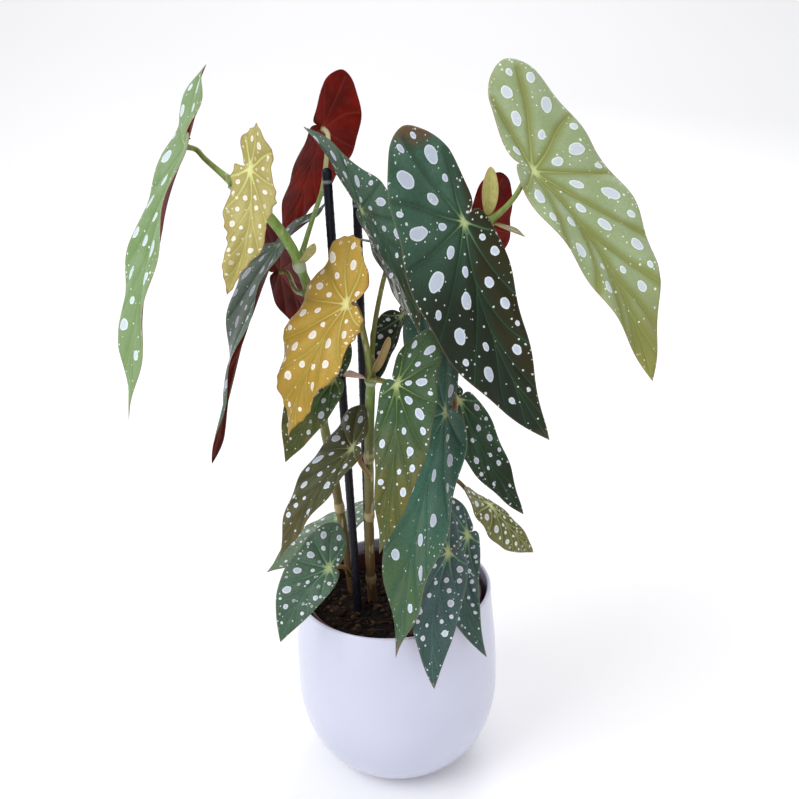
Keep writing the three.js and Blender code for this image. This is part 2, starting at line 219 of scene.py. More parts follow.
def smooth_profile(corners, steps):
    """Catmull-Rom curve through profile corners, ends kept."""
    out = []
    for a, b, c, d in spans(corners):
        for t in (s / steps for s in range(steps)):
            out.append(0.5 * (2 * b + (c - a) * t + (2 * a - 5 * b + 4 * c - d) * t * t
                              + (3 * b - a - 3 * c + d) * t ** 3))
    return [(max(p[0], 0.0), p[1]) for p in [*out, corners[-1]]]


def run_along(line):
    """Distance along a line to each of its points."""
    return np.concatenate([[0], np.cumsum(np.linalg.norm(np.diff(line, axis=0), axis=1))])


def evened(line, count):
    """count + 1 even points along a line."""
    line = np.array(line)
    run = run_along(line)
    at = np.linspace(0, run[-1], count + 1)
    return np.stack([np.interp(at, run, part) for part in line.T], axis=1)


def spaced_path(points, count):
    """Even points on the centripetal Catmull-Rom curve that the CAD stems follow."""
    def between(p, q, start, end):
        return (p * (end - t) + q * (t - start)) / (end - start)

    dense, steps = [], 24
    for a, b, c, d in spans(points):
        gaps = [max(np.linalg.norm(q - p), 1e-6) ** 0.5 for p, q in ((a, b), (b, c), (c, d))]
        ta, tb, tc, td = np.cumsum([0.0, *gaps])
        for s in range(steps):
            t = tb + (tc - tb) * s / steps
            middle = between(b, c, tb, tc)
            first = between(between(a, b, ta, tb), middle, ta, tc)
            second = between(middle, between(c, d, tc, td), tb, td)
            dense.append(between(first, second, tb, tc))
    return evened([*dense, points[-1]], count)


def tube(path, radius_at, sides):
    """Capped tube along a path, as wide as radius_at(share, reach) says.  Also gives the points' reach."""
    pts = np.array(path, float)
    step = run_along(pts)
    side, rings, along, faces = None, [], [], []
    for i, p in enumerate(pts):
        tangent = pts[min(i + 1, len(pts) - 1)] - pts[max(i - 1, 0)]
        tangent /= np.linalg.norm(tangent)
        if side is None:
            side = np.cross(tangent, (1.0, 0, 0) if abs(tangent[0]) < 0.9 else (0, 1.0, 0))
        side = side - tangent * (side @ tangent)
        side /= np.linalg.norm(side)
        other = np.cross(tangent, side)
        radius = radius_at(step[i] / step[-1], step[i])
        rings += [p + radius * (x * side + y * other) for x, y in circle(1, sides)]
        along += [step[i]] * sides
    for i in range(len(pts) - 1):
        faces += band(i * sides, (i + 1) * sides, sides)
    for start, tip in ((0, pts[0]), ((len(pts) - 1) * sides, pts[-1])):
        faces += fan(len(rings), start, sides, down=start == 0)
        rings.append(tip)
        along.append(along[start])
    return np.array(rings), faces, np.array(along)


class Bundle:
    """Collects several meshes in mm, with values for their points, into one."""

    def __init__(self):
        self.points, self.faces, self.values, self.count = [], [], {}, 0

    def add(self, points, faces, **values):
        self.points.append(np.asarray(points, float))
        self.faces += [tuple(i + self.count for i in face) for face in faces]
        for key, value in values.items():
            self.values.setdefault(key, []).append(np.zeros(len(points)) + value)
        self.count += len(points)

    def make(self, name, material):
        joined = {key: np.concatenate(value) for key, value in self.values.items()}
        return make_object(name, np.concatenate(self.points) * MM, self.faces, [material], attributes=joined)


# ---------------------------------------------------------------- leaf form

# The same outline and bends as the CAD blades, in shares of the midrib's length.
NOTCH = (-0.03, -0.028)
NARROW_SIDE = [NOTCH, (-0.035, -0.085), (0.03, -0.135), (0.13, -0.168), (0.3, -0.178), (0.5, -0.16),
               (0.74, -0.102), (0.9, -0.04), (1, 0)]
WIDE_SIDE = [(1, 0), (0.9, 0.052), (0.76, 0.12), (0.6, 0.188), (0.44, 0.235), (0.26, 0.275), (0.08, 0.297),
             (-0.11, 0.303), (-0.27, 0.289), (-0.4, 0.247), (-0.475, 0.165), (-0.44, 0.085), (-0.35, 0.01),
             (-0.25, -0.038), (-0.14, -0.06), (-0.07, -0.058), NOTCH]
NARROW_SHARE = 11 / 32

# Main veins from the joint and side veins from the midrib, as points in the same shares.
VEINS = [
    [(0, 0), (0.25, 0.004), (0.5, 0.004), (0.75, 0.001), (0.97, 0)],
    [(0, 0), (0.14, 0.05), (0.3, 0.13), (0.43, 0.225)],
    [(0, 0), (0.05, 0.09), (0.1, 0.19), (0.13, 0.285)],
    [(0, 0), (-0.05, 0.09), (-0.13, 0.2), (-0.17, 0.29)],
    [(0, 0), (-0.14, 0.07), (-0.27, 0.13), (-0.42, 0.18)],
    [(0, 0), (-0.1, 0.01), (-0.2, 0.01), (-0.33, 0.02)],
    [(0, 0), (0.12, -0.045), (0.25, -0.105), (0.36, -0.168)],
    [(0, 0), (0.03, -0.05), (0.06, -0.1), (0.08, -0.15)],
    [(0.28, 0.004), (0.4, 0.04), (0.53, 0.1), (0.65, 0.165)],
    [(0.5, 0.004), (0.6, 0.025), (0.71, 0.06), (0.82, 0.09)],
    [(0.7, 0.002), (0.77, 0.012), (0.85, 0.03), (0.91, 0.045)],
    [(0.25, 0.004), (0.36, -0.03), (0.48, -0.08), (0.58, -0.14)],
    [(0.46, 0.004), (0.56, -0.018), (0.67, -0.052), (0.77, -0.088)],
    [(0.66, 0.002), (0.74, -0.01), (0.82, -0.028), (0.89, -0.042)],
]


def spline(corners, count):
    """Even points on the uniform Catmull-Rom curve through corners."""
    pts = np.array(corners, float)
    pts = np.concatenate([pts[:1], pts, pts[-1:]])
    dense = []
    for a, b, c, d in zip(pts, pts[1:], pts[2:], pts[3:]):
        v0, v1 = (c - a) / 2, (d - b) / 2
        for t in np.arange(0, 1, 0.02):
            dense.append((2 * b - 2 * c + v0 + v1) * t ** 3
                         + (-3 * b + 3 * c - 2 * v0 - v1) * t * t + v0 * t + b)
    return evened([*dense, pts[-1]], count)


NARROW_STEPS, WIDE_STEPS = 140, 220
OUTLINE = np.concatenate([spline(NARROW_SIDE, NARROW_STEPS)[:-1], spline(WIDE_SIDE, WIDE_STEPS)[:-1]])
OUTLINE_SHARE = np.concatenate([np.linspace(0, NARROW_SHARE, NARROW_STEPS + 1)[:-1],
                                np.linspace(NARROW_SHARE, 1, WIDE_STEPS + 1)[:-1]])

PLAIN_LEAF = dict(hand=1, wide=1, narrow=1, ear=1, bow=0.08, crown=0.05, fold=0.25, arch=0.4, back=0.25,
                  twist=0, ruffle=0.012, waves=9)


def blade(name, look, joint, tip, turn, **bends):
    return {**PLAIN_LEAF, "name": name, "look": look, "joint": joint, "tip": tip, "turn": turn, **bends}


def blade_axes(joint, tip, turn):
    """A blade's joint, its length, and its directions along, across and out of its upper face."""
    start = np.array(joint, float)
    along = np.array(tip, float) - start
    length = np.linalg.norm(along)
    along /= length
    out = np.array([0, 0, 1.0]) - along * along[2]
    out /= np.linalg.norm(out)
    angle = math.radians(turn)
    out = out * math.cos(angle) + np.cross(along, out) * math.sin(angle)
    return start, length, along, np.cross(out, along), out


def outline_ring(points):
    """Share of the way to the margin, and the share round it, for points in outline shares."""
    def turn_of(p):
        angle = np.arctan2(p[:, 1], p[:, 0])
        cut = math.atan2(NOTCH[1], NOTCH[0])
        return np.where(angle < cut - 1e-6, angle + TURN, angle)

    angle = turn_of(OUTLINE)
    order = np.argsort(angle)
    reach = np.hypot(OUTLINE[:, 0], OUTLINE[:, 1])
    here = turn_of(points)
    radius = np.interp(here, angle[order], reach[order])
    share = np.interp(here, angle[order], OUTLINE_SHARE[order])
    return np.clip(np.hypot(points[:, 0], points[:, 1]) / radius, 0, 1), share


def blade_surface(leaf, u, v, extra):
    """Middle surface of a blade in mm.  extra is added to the lift, in mm."""
    start, length, along, across, out = blade_axes(leaf["joint"], leaf["tip"], leaf["turn"])
    side = v * np.where(v > 0, leaf["wide"], leaf["narrow"])
    run = np.where(u > 0, u, u * leaf["ear"])
    soft, round_fold = 0.03, 0.02
    ahead = 0.5 * (run + np.sqrt(run * run + soft * soft)) - soft / 2
    behind = run - ahead
    hump = 4 * ahead * (1 - ahead)
    crown = leaf["crown"] * hump + leaf["back"] * behind
    valley = leaf["fold"] * (np.hypot(side, round_fold) - round_fold) - leaf["arch"] * side * side
    ring, share = outline_ring(np.stack([u, v], axis=1))
    if leaf["hand"] < 0:
        share = share + 1 / 32
    wave = leaf["ruffle"] * ring ** 3 * np.sin(TURN * leaf["waves"] * share)
    lift = valley + wave + extra / length
    angle = math.radians(leaf["twist"]) * run
    shift = side * np.cos(angle) - lift * np.sin(angle) + leaf["bow"] * (hump + behind)
    rise = side * np.sin(angle) + lift * np.cos(angle) + crown
    return start + length * (run[:, None] * along + leaf["hand"] * shift[:, None] * across
                             + rise[:, None] * out)


def flat_points(leaf, length, shares):
    """Outline shares laid flat in mm with the leaf's own widths."""
    s = np.array(shares, float)
    x = np.where(s[:, 0] > 0, s[:, 0], s[:, 0] * leaf["ear"]) * length
    y = s[:, 1] * np.where(s[:, 1] > 0, leaf["wide"], leaf["narrow"]) * length
    return np.stack([x, y], axis=1)


def inside(polygon, points):
    x, y = points[:, 0], points[:, 1]
    hit = np.zeros(len(points), bool)
    for (x0, y0), (x1, y1) in zip(polygon, np.roll(polygon, -1, axis=0)):
        if y0 != y1:
            hit ^= ((y0 > y) != (y1 > y)) & (x < (x1 - x0) * (y - y0) / (y1 - y0) + x0)
    return hit


def distance_to_lines(points, lines):
    """Distance of each point to the nearest of several polylines."""
    best = np.full(len(points), 1e9)
    for line in lines:
        for a, b in zip(line[:-1], line[1:]):
            edge = b - a
            size = edge @ edge
            if size < 1e-12:
                continue
            t = np.clip(((points - a) @ edge) / size, 0, 1)
            gap = points - a - t[:, None] * edge
            best = np.minimum(best, np.einsum("ij,ij->i", gap, gap))
    return np.sqrt(best)


def clear_of(points, lines, gap):
    """The points that lie more than gap from every line."""
    return points[distance_to_lines(points, lines) > gap]


def closed(ring):
    return np.append(ring, ring[:1], axis=0)


def resample(line, spacing):
    return evened(line, max(int(round(run_along(line)[-1] / spacing)), 2))


def unit(vectors):
    return vectors / (np.linalg.norm(vectors, axis=1)[:, None] + 1e-9)


def left_of(tangents):
    tangents = unit(tangents)
    return np.stack([-tangents[:, 1], tangents[:, 0]], axis=1)


def place_spots(rng, margin, veins, look):
    """Oval spots between the veins: each goes where the most room is left, and fills part of it."""
    low, high = margin.min(axis=0), margin.max(axis=0)
    step, least_size, stretch_reach = 1.3, 0.55, 70
    grid = np.stack(np.meshgrid(np.arange(low[0], high[0], step), np.arange(low[1], high[1], step)), -1)
    grid = grid.reshape(-1, 2)
    grid = grid[inside(margin, grid)]
    grid = grid + rng.uniform(-0.5, 0.5, grid.shape)
    from_edge = distance_to_lines(grid, [closed(margin)[::3]])
    room = np.minimum(distance_to_lines(grid, veins) + 0.4, from_edge)
    taste = rng.uniform(0.8, 1.0, len(grid))
    spots = []
    while len(spots) < look["most"]:
        best = int(np.argmax(room * taste))
        free = room[best]
        size = min(free * look["fill"] * rng.uniform(0.82, 1.1), look["largest"] * rng.uniform(0.75, 1.05))
        if free < look["least"] or size < least_size:
            break
        x, y = grid[best]
        fading = math.exp(-np.hypot(x, y) / stretch_reach)
        stretch = 1 + look["stretch"] * fading * rng.uniform(0.6, 1.3) * min(size / 3, 1)
        spots.append((x, y, size, size * stretch, math.atan2(y, x) + rng.normal(0, 0.12)))
        gap = np.hypot(grid[:, 0] - x, grid[:, 1] - y) - size * (1 + stretch) / 2
        room = np.minimum(room, np.maximum(gap, 0) * look["crowd"])
    return spots


def wobble(theta, x, y):
    return 1 + 0.03 * np.sin(3 * theta + x) + 0.02 * np.sin(5 * theta + y)


def spot_distance(points, spots):
    """Signed distance to the nearest spot's edge in mm, positive inside."""
    reach = 3.0
    best = np.full(len(points), -reach)
    for x, y, short, long, angle in spots:
        near = (np.abs(points[:, 0] - x) < long + reach) & (np.abs(points[:, 1] - y) < long + reach)
        p = points[near] - (x, y)
        a = (p[:, 0] * math.cos(angle) + p[:, 1] * math.sin(angle)) / long
        b = (-p[:, 0] * math.sin(angle) + p[:, 1] * math.cos(angle)) / short
        theta = np.arctan2(b, a)
        grain = short / np.sqrt((short / long * np.cos(theta)) ** 2 + np.sin(theta) ** 2)
        best[near] = np.maximum(best[near], (wobble(theta, x, y) - np.hypot(a, b)) * grain)
    return best


def spot_ring(spot):
    """Points along a spot's edge, so that its outline is round in the mesh."""
    x, y, short, long, angle = spot
    theta = np.linspace(0, TURN, max(12, int(3.5 * (short + long))), endpoint=False)
    r = wobble(theta, x, y)
    a, b = r * long * np.cos(theta), r * short * np.sin(theta)
    return np.stack([x + a * math.cos(angle) - b * math.sin(angle),
                     y + a * math.sin(angle) + b * math.cos(angle)], axis=1)


def toothed(margin, depth):
    """Uneven small teeth cut inwards along the margin, at most depth mm deep."""
    if depth == 0:
        return margin
    tooth_width, joint_fade = 7.5, 8
    reach = np.cumsum(np.linalg.norm(np.roll(margin, -1, axis=0) - margin, axis=1))
    phase = TURN * np.round(reach[-1] / tooth_width) * reach / reach[-1]
    cut = np.abs(np.sin(phase / 2 + 0.5 * np.sin(phase * 0.31))) ** 1.5
    cut *= 0.6 + 0.4 * np.sin(reach / reach[-1] * TURN * 5)
    inward = left_of(np.roll(margin, -1, axis=0) - np.roll(margin, 1, axis=0))
    if np.mean(((margin.mean(axis=0) - margin) * inward).sum(axis=1)) < 0:
        inward = -inward
    fade = np.clip(np.linalg.norm(margin, axis=1) / joint_fade, 0, 1)
    return margin + inward * (depth * cut * fade)[:, None]


def inner_points(margin, veins, spots, spacing):
    """Points inside a flat blade: lines along the veins, an even grid, and the spots' edges."""
    low, high = margin.min(axis=0), margin.max(axis=0)
    grid = []
    for k, y in enumerate(np.arange(low[1], high[1], spacing * 0.866)):
        x = np.arange(low[0] + (k % 2) * spacing / 2, high[0], spacing)
        grid.append(np.stack([x, np.full(len(x), y)], axis=1))
    grid = np.concatenate(grid)
    edge = [closed(margin)]
    rings = [spot_ring(spot) for spot in spots]
    grid = clear_of(grid[inside(margin, grid)], edge, 0.55 * spacing)
    grid = clear_of(grid, veins, 0.75 * spacing)
    grid = clear_of(grid, [closed(ring) for ring in rings], 0.45 * spacing)
    ribs = np.concatenate([vein + left_of(np.gradient(vein, axis=0)) * offset
                           for vein in veins for offset in (0, -0.5, 0.5)])
    ribs = clear_of(ribs[inside(margin, ribs)], edge, 0.5 * spacing)
    first, cell = {}, 0.3
    for i, (x, y) in enumerate(ribs):
        first.setdefault((round(x / cell), round(y / cell)), i)
    rings = np.concatenate([np.zeros((0, 2)), *rings])
    rings = clear_of(rings[inside(margin, rings)], edge, 0.5 * spacing)
    rings = clear_of(rings, veins, 0.75)
    return np.concatenate([ribs[list(first.values())], grid, rings])


def leaf_mesh(leaf, look, spacing, thickness, seed):
    """A blade's points, faces, face materials and point values: veins pressed in, pillows between them."""
    rng = np.random.default_rng(seed)
    _, length, _, _, out = blade_axes(leaf["joint"], leaf["tip"], leaf["turn"])
    margin = closed(flat_points(leaf, length, OUTLINE))
    margin = toothed(resample(margin, look.get("margin_step", spacing))[:-1], look.get("teeth", 0))
    veins = [resample(flat_points(leaf, length, spline(v, 40)), spacing) for v in VEINS]
    spots = place_spots(rng, margin, veins, look)
    flat = np.concatenate([margin, inner_points(margin, veins, spots, spacing)])
    count = len(margin)
    edges = [(i, (i + 1) % count) for i in range(count)]
    flat, _, tris, *_ = delaunay_2d_cdt([Vector(p) for p in flat], edges, [list(range(count))], 1, 1e-5)
    flat = np.array([tuple(p) for p in flat])
    tris = np.array([t for t in tris if len(t) == 3])
    # share coordinates again from the flat ones
    x, y = flat[:, 0] / length, flat[:, 1] / length
    u = np.where(x > 0, x, x / leaf["ear"])
    v = np.where(y > 0, y / leaf["wide"], y / leaf["narrow"])
    vein_gap = distance_to_lines(flat, veins)
    edge_gap = distance_to_lines(flat, [closed(margin)])
    groove_width, pillow_width, relief_edge, thin_edge = 1.7, 7, 6, 1.2
    fade = np.clip(edge_gap / relief_edge, 0, 1)
    groove = -look["groove"] * np.exp(-((vein_gap / groove_width) ** 2)) * fade
    pillow = look["pillow"] * np.clip(vein_gap / pillow_width, 0, 1) * fade
    middle = blade_surface(leaf, u, v, groove + pillow)
    a, b, c = (middle[tris[:, k]] for k in range(3))
    normals = np.zeros_like(middle)
    for k in range(3):
        np.add.at(normals, tris[:, k], np.cross(b - a, c - a))
    normals = unit(normals)
    if np.mean(normals @ out) < 0:
        normals, tris = -normals, tris[:, ::-1]
    half = 0.5 * thickness * (0.45 + 0.55 * np.clip(edge_gap / thin_edge, 0, 1))
    total = len(middle)
    sides = dict.fromkeys((t[i], t[i - 2]) for t in tris for i in range(3))
    rim = [(i, j) for i, j in sides if (j, i) not in sides]
    faces = [tuple(t) for t in tris] + [(t[0] + total, t[2] + total, t[1] + total) for t in tris]
    faces += [(i, i + total, j + total, j) for i, j in rim]
    kinds = [0] * len(tris) + [1] * len(tris) + [0] * len(rim)
    values = dict(vein=np.minimum(vein_gap, 9), edge=np.minimum(edge_gap, 12),
                  spot=spot_distance(flat, spots),
                  flat=np.concatenate([flat, np.zeros((total, 1))], axis=1) * MM * 10,
                  run=x, side=np.where(y > 0, v / 0.3, v / 0.18))
    values = {key: np.concatenate([value, value]) for key, value in values.items()}
    shift = normals * half[:, None]
    return np.concatenate([middle + shift, middle - shift]) * MM, faces, kinds, values


# ---------------------------------------------------------------- leaf materials


def upper_material(name, tone):
    """Upper face: base to tip colour with a painted sheen in lighter patches, darker bands along the veins
    (partly their own tone, partly painted shade in the sunken grooves), a fine light line along the veins,
    white spots.
    """
    g = Graph(name)
    run, side, vein, edge, spot = g.attributes("run", "side", "vein", "edge", "spot")
    flat = g.flat()
    cloud, fine, grain = g.noise(flat, 5.0, 4.0), g.noise(flat, 60.0), g.noise(flat, 150.0, 2.0)

    def uneven(value, amount):
        return g.plus(value, g.times(cloud, amount))

    outward = g.times(side, tone["side_sign"])
    # painted sheen: lighter patches of the patch colour laid over the base by noise
    color = g.mix(g.times(g.step(cloud, 0.35, 0.7), 0.5), tone["base"], tone["sheen_patch"])
    tip = g.step(uneven(run, 0.4), tone["tip_from"] + 0.2, tone["tip_from"] + 0.65)
    color = g.tint(color, tone["tip"], tip, 0.9)
    color = g.tint(color, tone["side"], g.step(uneven(outward, 0.5), 0.1, 0.6), tone["side_amount"])
    color = g.tint(color, tone["top"], g.step(uneven(run, 0.14), -0.26, -0.36), tone["top_amount"])
    color = g.tint(color, "75503c", g.step(uneven(run, 0.06), 0.95, 0.99), tone["end_amount"])
    # darker bands along the veins: partly the veins' own darker tone, partly painted shade in the sunken
    # grooves
    vein_tint_and_shade = g.step(uneven(vein, 2.4), tone["vein_tint_and_shade_width"] + 1.2, 1.0)
    color = g.tint(color, tone["band"], vein_tint_and_shade, tone["vein_tint_and_shade_amount"])
    color = g.tint(color, tone["deep"], g.step(fine, 0.35, 0.75), 0.3)
    # painted sheen: a streaky light grey strip along one rolled margin
    fold_sheen = g.times(g.step(edge, 7.5, 5.5), g.step(outward, 0.05, 0.3))
    fold_sheen = g.times(fold_sheen, g.step(run, -0.02, 0.12))
    fibre = g.noise(g.stretched(flat, (0.1, 1, 1)), 110.0)
    fold_sheen_colour = g.mix(g.step(fibre, 0.4, 0.62), "3d403a", "a3a69c")
    color = g.tint(color, fold_sheen_colour, fold_sheen, tone["fold_sheen_amount"])
    # fine vein line, lighter and wider towards the joint
    far = g.node("ShaderNodeVectorMath", {0: flat}, operation="LENGTH").outputs["Value"]
    line = g.step(g.minus(g.step(far, 0.0, 0.5, 0.62, 0.2), vein), -0.3, 0.2)
    line = g.times(line, g.step(far, 0.03, 0.24, 0.85, tone["line_far"]))
    color = g.mix(line, color, tone["line"])
    color = g.tint(color, tone["star"], g.step(g.plus(far, g.times(vein, 0.03)), 0.075, 0.015), 0.85)
    # spots: large ovals from the signed distance, and scattered small dots
    oval = g.step(g.plus(spot, g.times(g.minus(grain, 0.5), 0.7)), -0.16, 0.2)
    white = g.mix(g.step(spot, 0.25, 1.3), tone["spot_rim"], tone["spot"])
    white = g.tint(white, tone["spot_rim"], g.step(grain, 0.4, 0.7), 0.35)
    color = g.tint(color, tone["deep"], g.step(spot, -0.9, -0.1), 0.3)
    color = g.mix(oval, color, white)
    dots = 0.0
    for scale, size, share in tone["dots"]:
        distance, first, second = g.cells(flat, scale, "2D")
        chosen = g.math("LESS_THAN", first, g.plus(share, g.step(edge, 9.0, 0.5, 0.0, tone["edge_dots"])))
        radius = g.times(g.grade(second, 0.55, 0.45), size)
        dot = g.step(g.minus(g.times(radius, scale), distance), -0.03 * scale * size, 0.2 * size * scale)
        dots = g.math("MAXIMUM", dots, g.times(dot, chosen))
    color = g.tint(color, tone["dot"], dots, 0.9)
    color = g.tint(color, tone["brim"], g.step(uneven(edge, 0.8), 1.15, 0.4), tone["brim_amount"])
    height = g.minus(g.times(g.noise(flat, 90.0), 0.4), g.times(line, 0.5))
    height = g.plus(height, g.times(oval, 0.3))
    rough = g.grade(fine, 0.16, tone["rough"])
    return g.finish(color, rough, 0.14, (height, 0.0009, 0.55), coat=(0.03, 0.35))


def lower_material(name, tone):
    """Under face: wine red, a little lighter along the raised veins, with a soft cloudiness."""
    g = Graph(name)
    vein, edge, spot = g.attributes("vein", "edge", "spot")
    flat = g.flat()
    cloud, fine = g.noise(flat, 5.0), g.noise(flat, 70.0)
    color = g.mix(g.step(cloud, 0.3, 0.7), tone["under"], tone["under_deep"])
    color = g.tint(color, tone["under_spot"], g.step(spot, -0.6, 0.7), 0.07)
    line = g.step(vein, 1.0, 0.15)
    color = g.tint(color, tone["under_vein"], line, 0.3)
    color = g.tint(color, tone["under_deep"], g.step(edge, 1.2, 0.2), 0.4)
    color = g.tint(color, tone["under_deep"], fine, 0.3)
    height = g.plus(g.times(g.noise(flat, 90.0), 0.4), g.times(line, 1.1))
    return g.finish(color, g.grade(fine, 0.15, 0.5), 0.1, (height, 0.0008, 0.5))


# In each tone the patch colour is a painted sheen laid on in lighter patches. The band colour darkens a band
# along the veins that is partly their own tone and partly painted shade in the sunken grooves.
PLAIN_TONE = dict(
    base="3c5a48", tip="33402a", tip_from=0.35, side="243d30", side_sign=1, side_amount=0.0, sheen_patch="4f6d5a",
    band="213a29", vein_tint_and_shade_width=3.0, vein_tint_and_shade_amount=0.6, deep="1c3021", line="5d7c55", line_far=0.22,
    star="b9c58a", top="6d4b33", top_amount=0.0, end_amount=0.3, fold_sheen_amount=0.0,
    spot="b6c0cf", spot_rim="d6dde3", dot="d6ded9", dots=[(12.0, 0.0105, 0.13), (25.0, 0.0066, 0.14)],
    edge_dots=0.38, brim="6d5a44", brim_amount=0.6, rough=0.34,
    under="8c1d10", under_deep="5c100a", under_spot="a0544a", under_vein="a04a38")
TONES = {
    "dark": dict(tip="2c2614", tip_from=0.3),
    "green": dict(base="42593a", tip="67622f", tip_from=0.22, sheen_patch="4f6d4e", band="2f4320",
                  vein_tint_and_shade_amount=0.6, line="728c50", line_far=0.25),
    "teal": dict(base="456c5b", tip="3d6450", sheen_patch="587f6d", band="2f5443", line="6c8f72", brim="7d7a60"),
    "light": dict(base="77915d", tip="7f9868", sheen_patch="95ab84", band="6a874a", vein_tint_and_shade_amount=0.6,
                  line="abc08a", line_far=0.35, deep="667f50", brim="a88670", dot="eaf0e8",
                  spot="c0d0d4", spot_rim="e0e8e4"),
    "olive": dict(base="95a578", tip="86803e", tip_from=0.5, sheen_patch="a9b897", band="7f823c", vein_tint_and_shade_width=5.2,
                  vein_tint_and_shade_amount=0.9, line="a3b06c", line_far=0.5, deep="7f8c52", brim="a8806a",
                  dot="e9eee2", star="d0da9e", spot="c6d0d8", spot_rim="e4e9e6"),
    "gold": dict(base="b28f3c", tip="a68536", sheen_patch="b9a252", band="93802f", vein_tint_and_shade_width=3.8,
                 vein_tint_and_shade_amount=0.55, line="c9bb66", line_far=0.45, deep="987a2a", brim="9a5f3c",
                 dot="ece2c8", star="dcdc98", spot="dcd2c2", spot_rim="eee8d8"),
    "brown": dict(base="4c4e2f", tip="5f5630", sheen_patch="586040", band="32301a", vein_tint_and_shade_amount=0.6,
                  line="74724a"),
    "red": dict(),
}

# ---------------------------------------------------------------- the leaves

# joint, tip and bends repeat the CAD table; the look sets the colours.
LEAVES = [
    blade("far_left", "light", (-107, -25, 445), (-144, -80, 300), 35, hand=-1, wide=0.8, narrow=1.2,
          ear=0.7, bow=0.1, crown=0.04, fold=0.17, arch=0.04, back=0.06, twist=15),
    blade("left_small", "gold", (-69, -45, 433), (-87, -69, 367), -3, wide=0.87, narrow=1.16, ear=0.66,
          bow=0.14, back=-0.4, twist=-18, ruffle=0.035, waves=8),
    blade("left_edge", "teal", (-62, 12, 381), (-102, -71, 266), 32, wide=0.38, narrow=1.48, ear=0.6,
          bow=0.11, crown=0.08, fold=0.09, arch=-0.4, back=0.55, twist=43),
    blade("left_under", "red", (-68, 45, 356), (-36, 83, 279), -100, hand=-1, crown=0.07, back=0.08),
    blade("back_top", "red", (-33, 52, 448), (-67, 88, 369), -4, hand=-1, wide=0.91, narrow=1.5, ear=0.82,
          bow=0.07, fold=0, arch=1.55, back=-0.31, twist=-12),
    blade("front_gold", "gold", (-19, -60, 357), (-57, -63, 278), -38, hand=-1, wide=1.4, narrow=1.45,
          ear=0.87, bow=0.05, fold=0.32, arch=1, back=0.07, ruffle=0.03),
    blade("top_long", "dark", (-9, -6, 402), (21, -77, 341), 98, wide=1.1, narrow=0.75, ear=1.5, bow=0.1,
          crown=-0.01, fold=0.04, arch=0.13, back=-0.05, twist=-46),
    blade("right_large", "dark", (49, -55, 400), (92, -92, 281), 22, hand=-1, wide=1.22, narrow=0.9,
          ear=0.93, bow=0.11, crown=0.07, fold=0.18, arch=-0.1, back=-0.1),
    blade("front_green", "green", (7, -75, 313), (-7, -124, 231), 15, wide=0.93, narrow=0.7, ear=0.76,
          crown=0.09, arch=0.54, back=0.35),
    blade("right_top", "olive", (91, -35, 424), (149, -88, 311), 10, wide=1.2, narrow=1.1, ear=1.05,
          crown=0.03, fold=0.28, back=0),
    blade("front_long", "teal", (36, -56, 287), (0, -84, 134), 12, hand=-1, wide=1, narrow=1.4, ear=0.85,
          bow=0.03, crown=0.01, arch=0.4, back=-0.2),
    blade("right_middle", "dark", (50, 6, 272), (90, -14, 194), 26, hand=-1, wide=0.8, ear=0.6, crown=0.06,
          fold=0.2, arch=0.6, back=0.2),
    blade("right_low", "olive", (71, 15, 188), (103, 20, 145), 22, hand=-1, wide=1.22, narrow=0.92,
          bow=0.12, fold=0.1, arch=1, twist=-55),
    blade("over_rim", "teal", (36, -55, 191), (22, -97, 119), -30, hand=-1, wide=0.82, narrow=1.09,
          ear=0.89, crown=0.06, back=0.34),
    blade("left_brown", "brown", (-21, -54, 266), (-67, -88, 210), 3, hand=-1, wide=1.07, narrow=1.07,
          ear=0.7, bow=0.05, crown=0.04, fold=0.19, arch=0.56, back=-0.1),
    blade("behind_gold", "green", (-31, -30, 303), (-64, -42, 253), -50, hand=-1, wide=1.25, narrow=1.09,
          bow=0.02, back=0.15),
    blade("soil_left", "teal", (-40, 61, 160), (-94, 28, 134), 7, wide=1.4, narrow=1.15, arch=0.6, back=0.1,
          twist=-20),
    blade("rim_left", "teal", (-41, -50, 181), (-74, -71, 141), -60, hand=-1, wide=1.4, narrow=1.14,
          crown=0.07, back=0.35),
    blade("rim_right", "teal", (51, -30, 189), (59, -66, 118), -8, hand=-1, wide=0.85, narrow=0.75, ear=0.7,
          bow=0.13, crown=0.02, arch=0, back=0.3, twist=-15),
    blade("back_small", "teal", (9, 22, 372), (-17, 8, 382), 0),
    blade("centre_dark", "dark", (14, 14, 330), (-7, -8, 288), 8, narrow=1.5, fold=0.46, arch=-0.7),
    blade("back_red", "red", (62, -4, 393), (51, 40, 339), 0, hand=-1, crown=-0.05, fold=-0.25, arch=-0.4,
          back=-0.25),
]

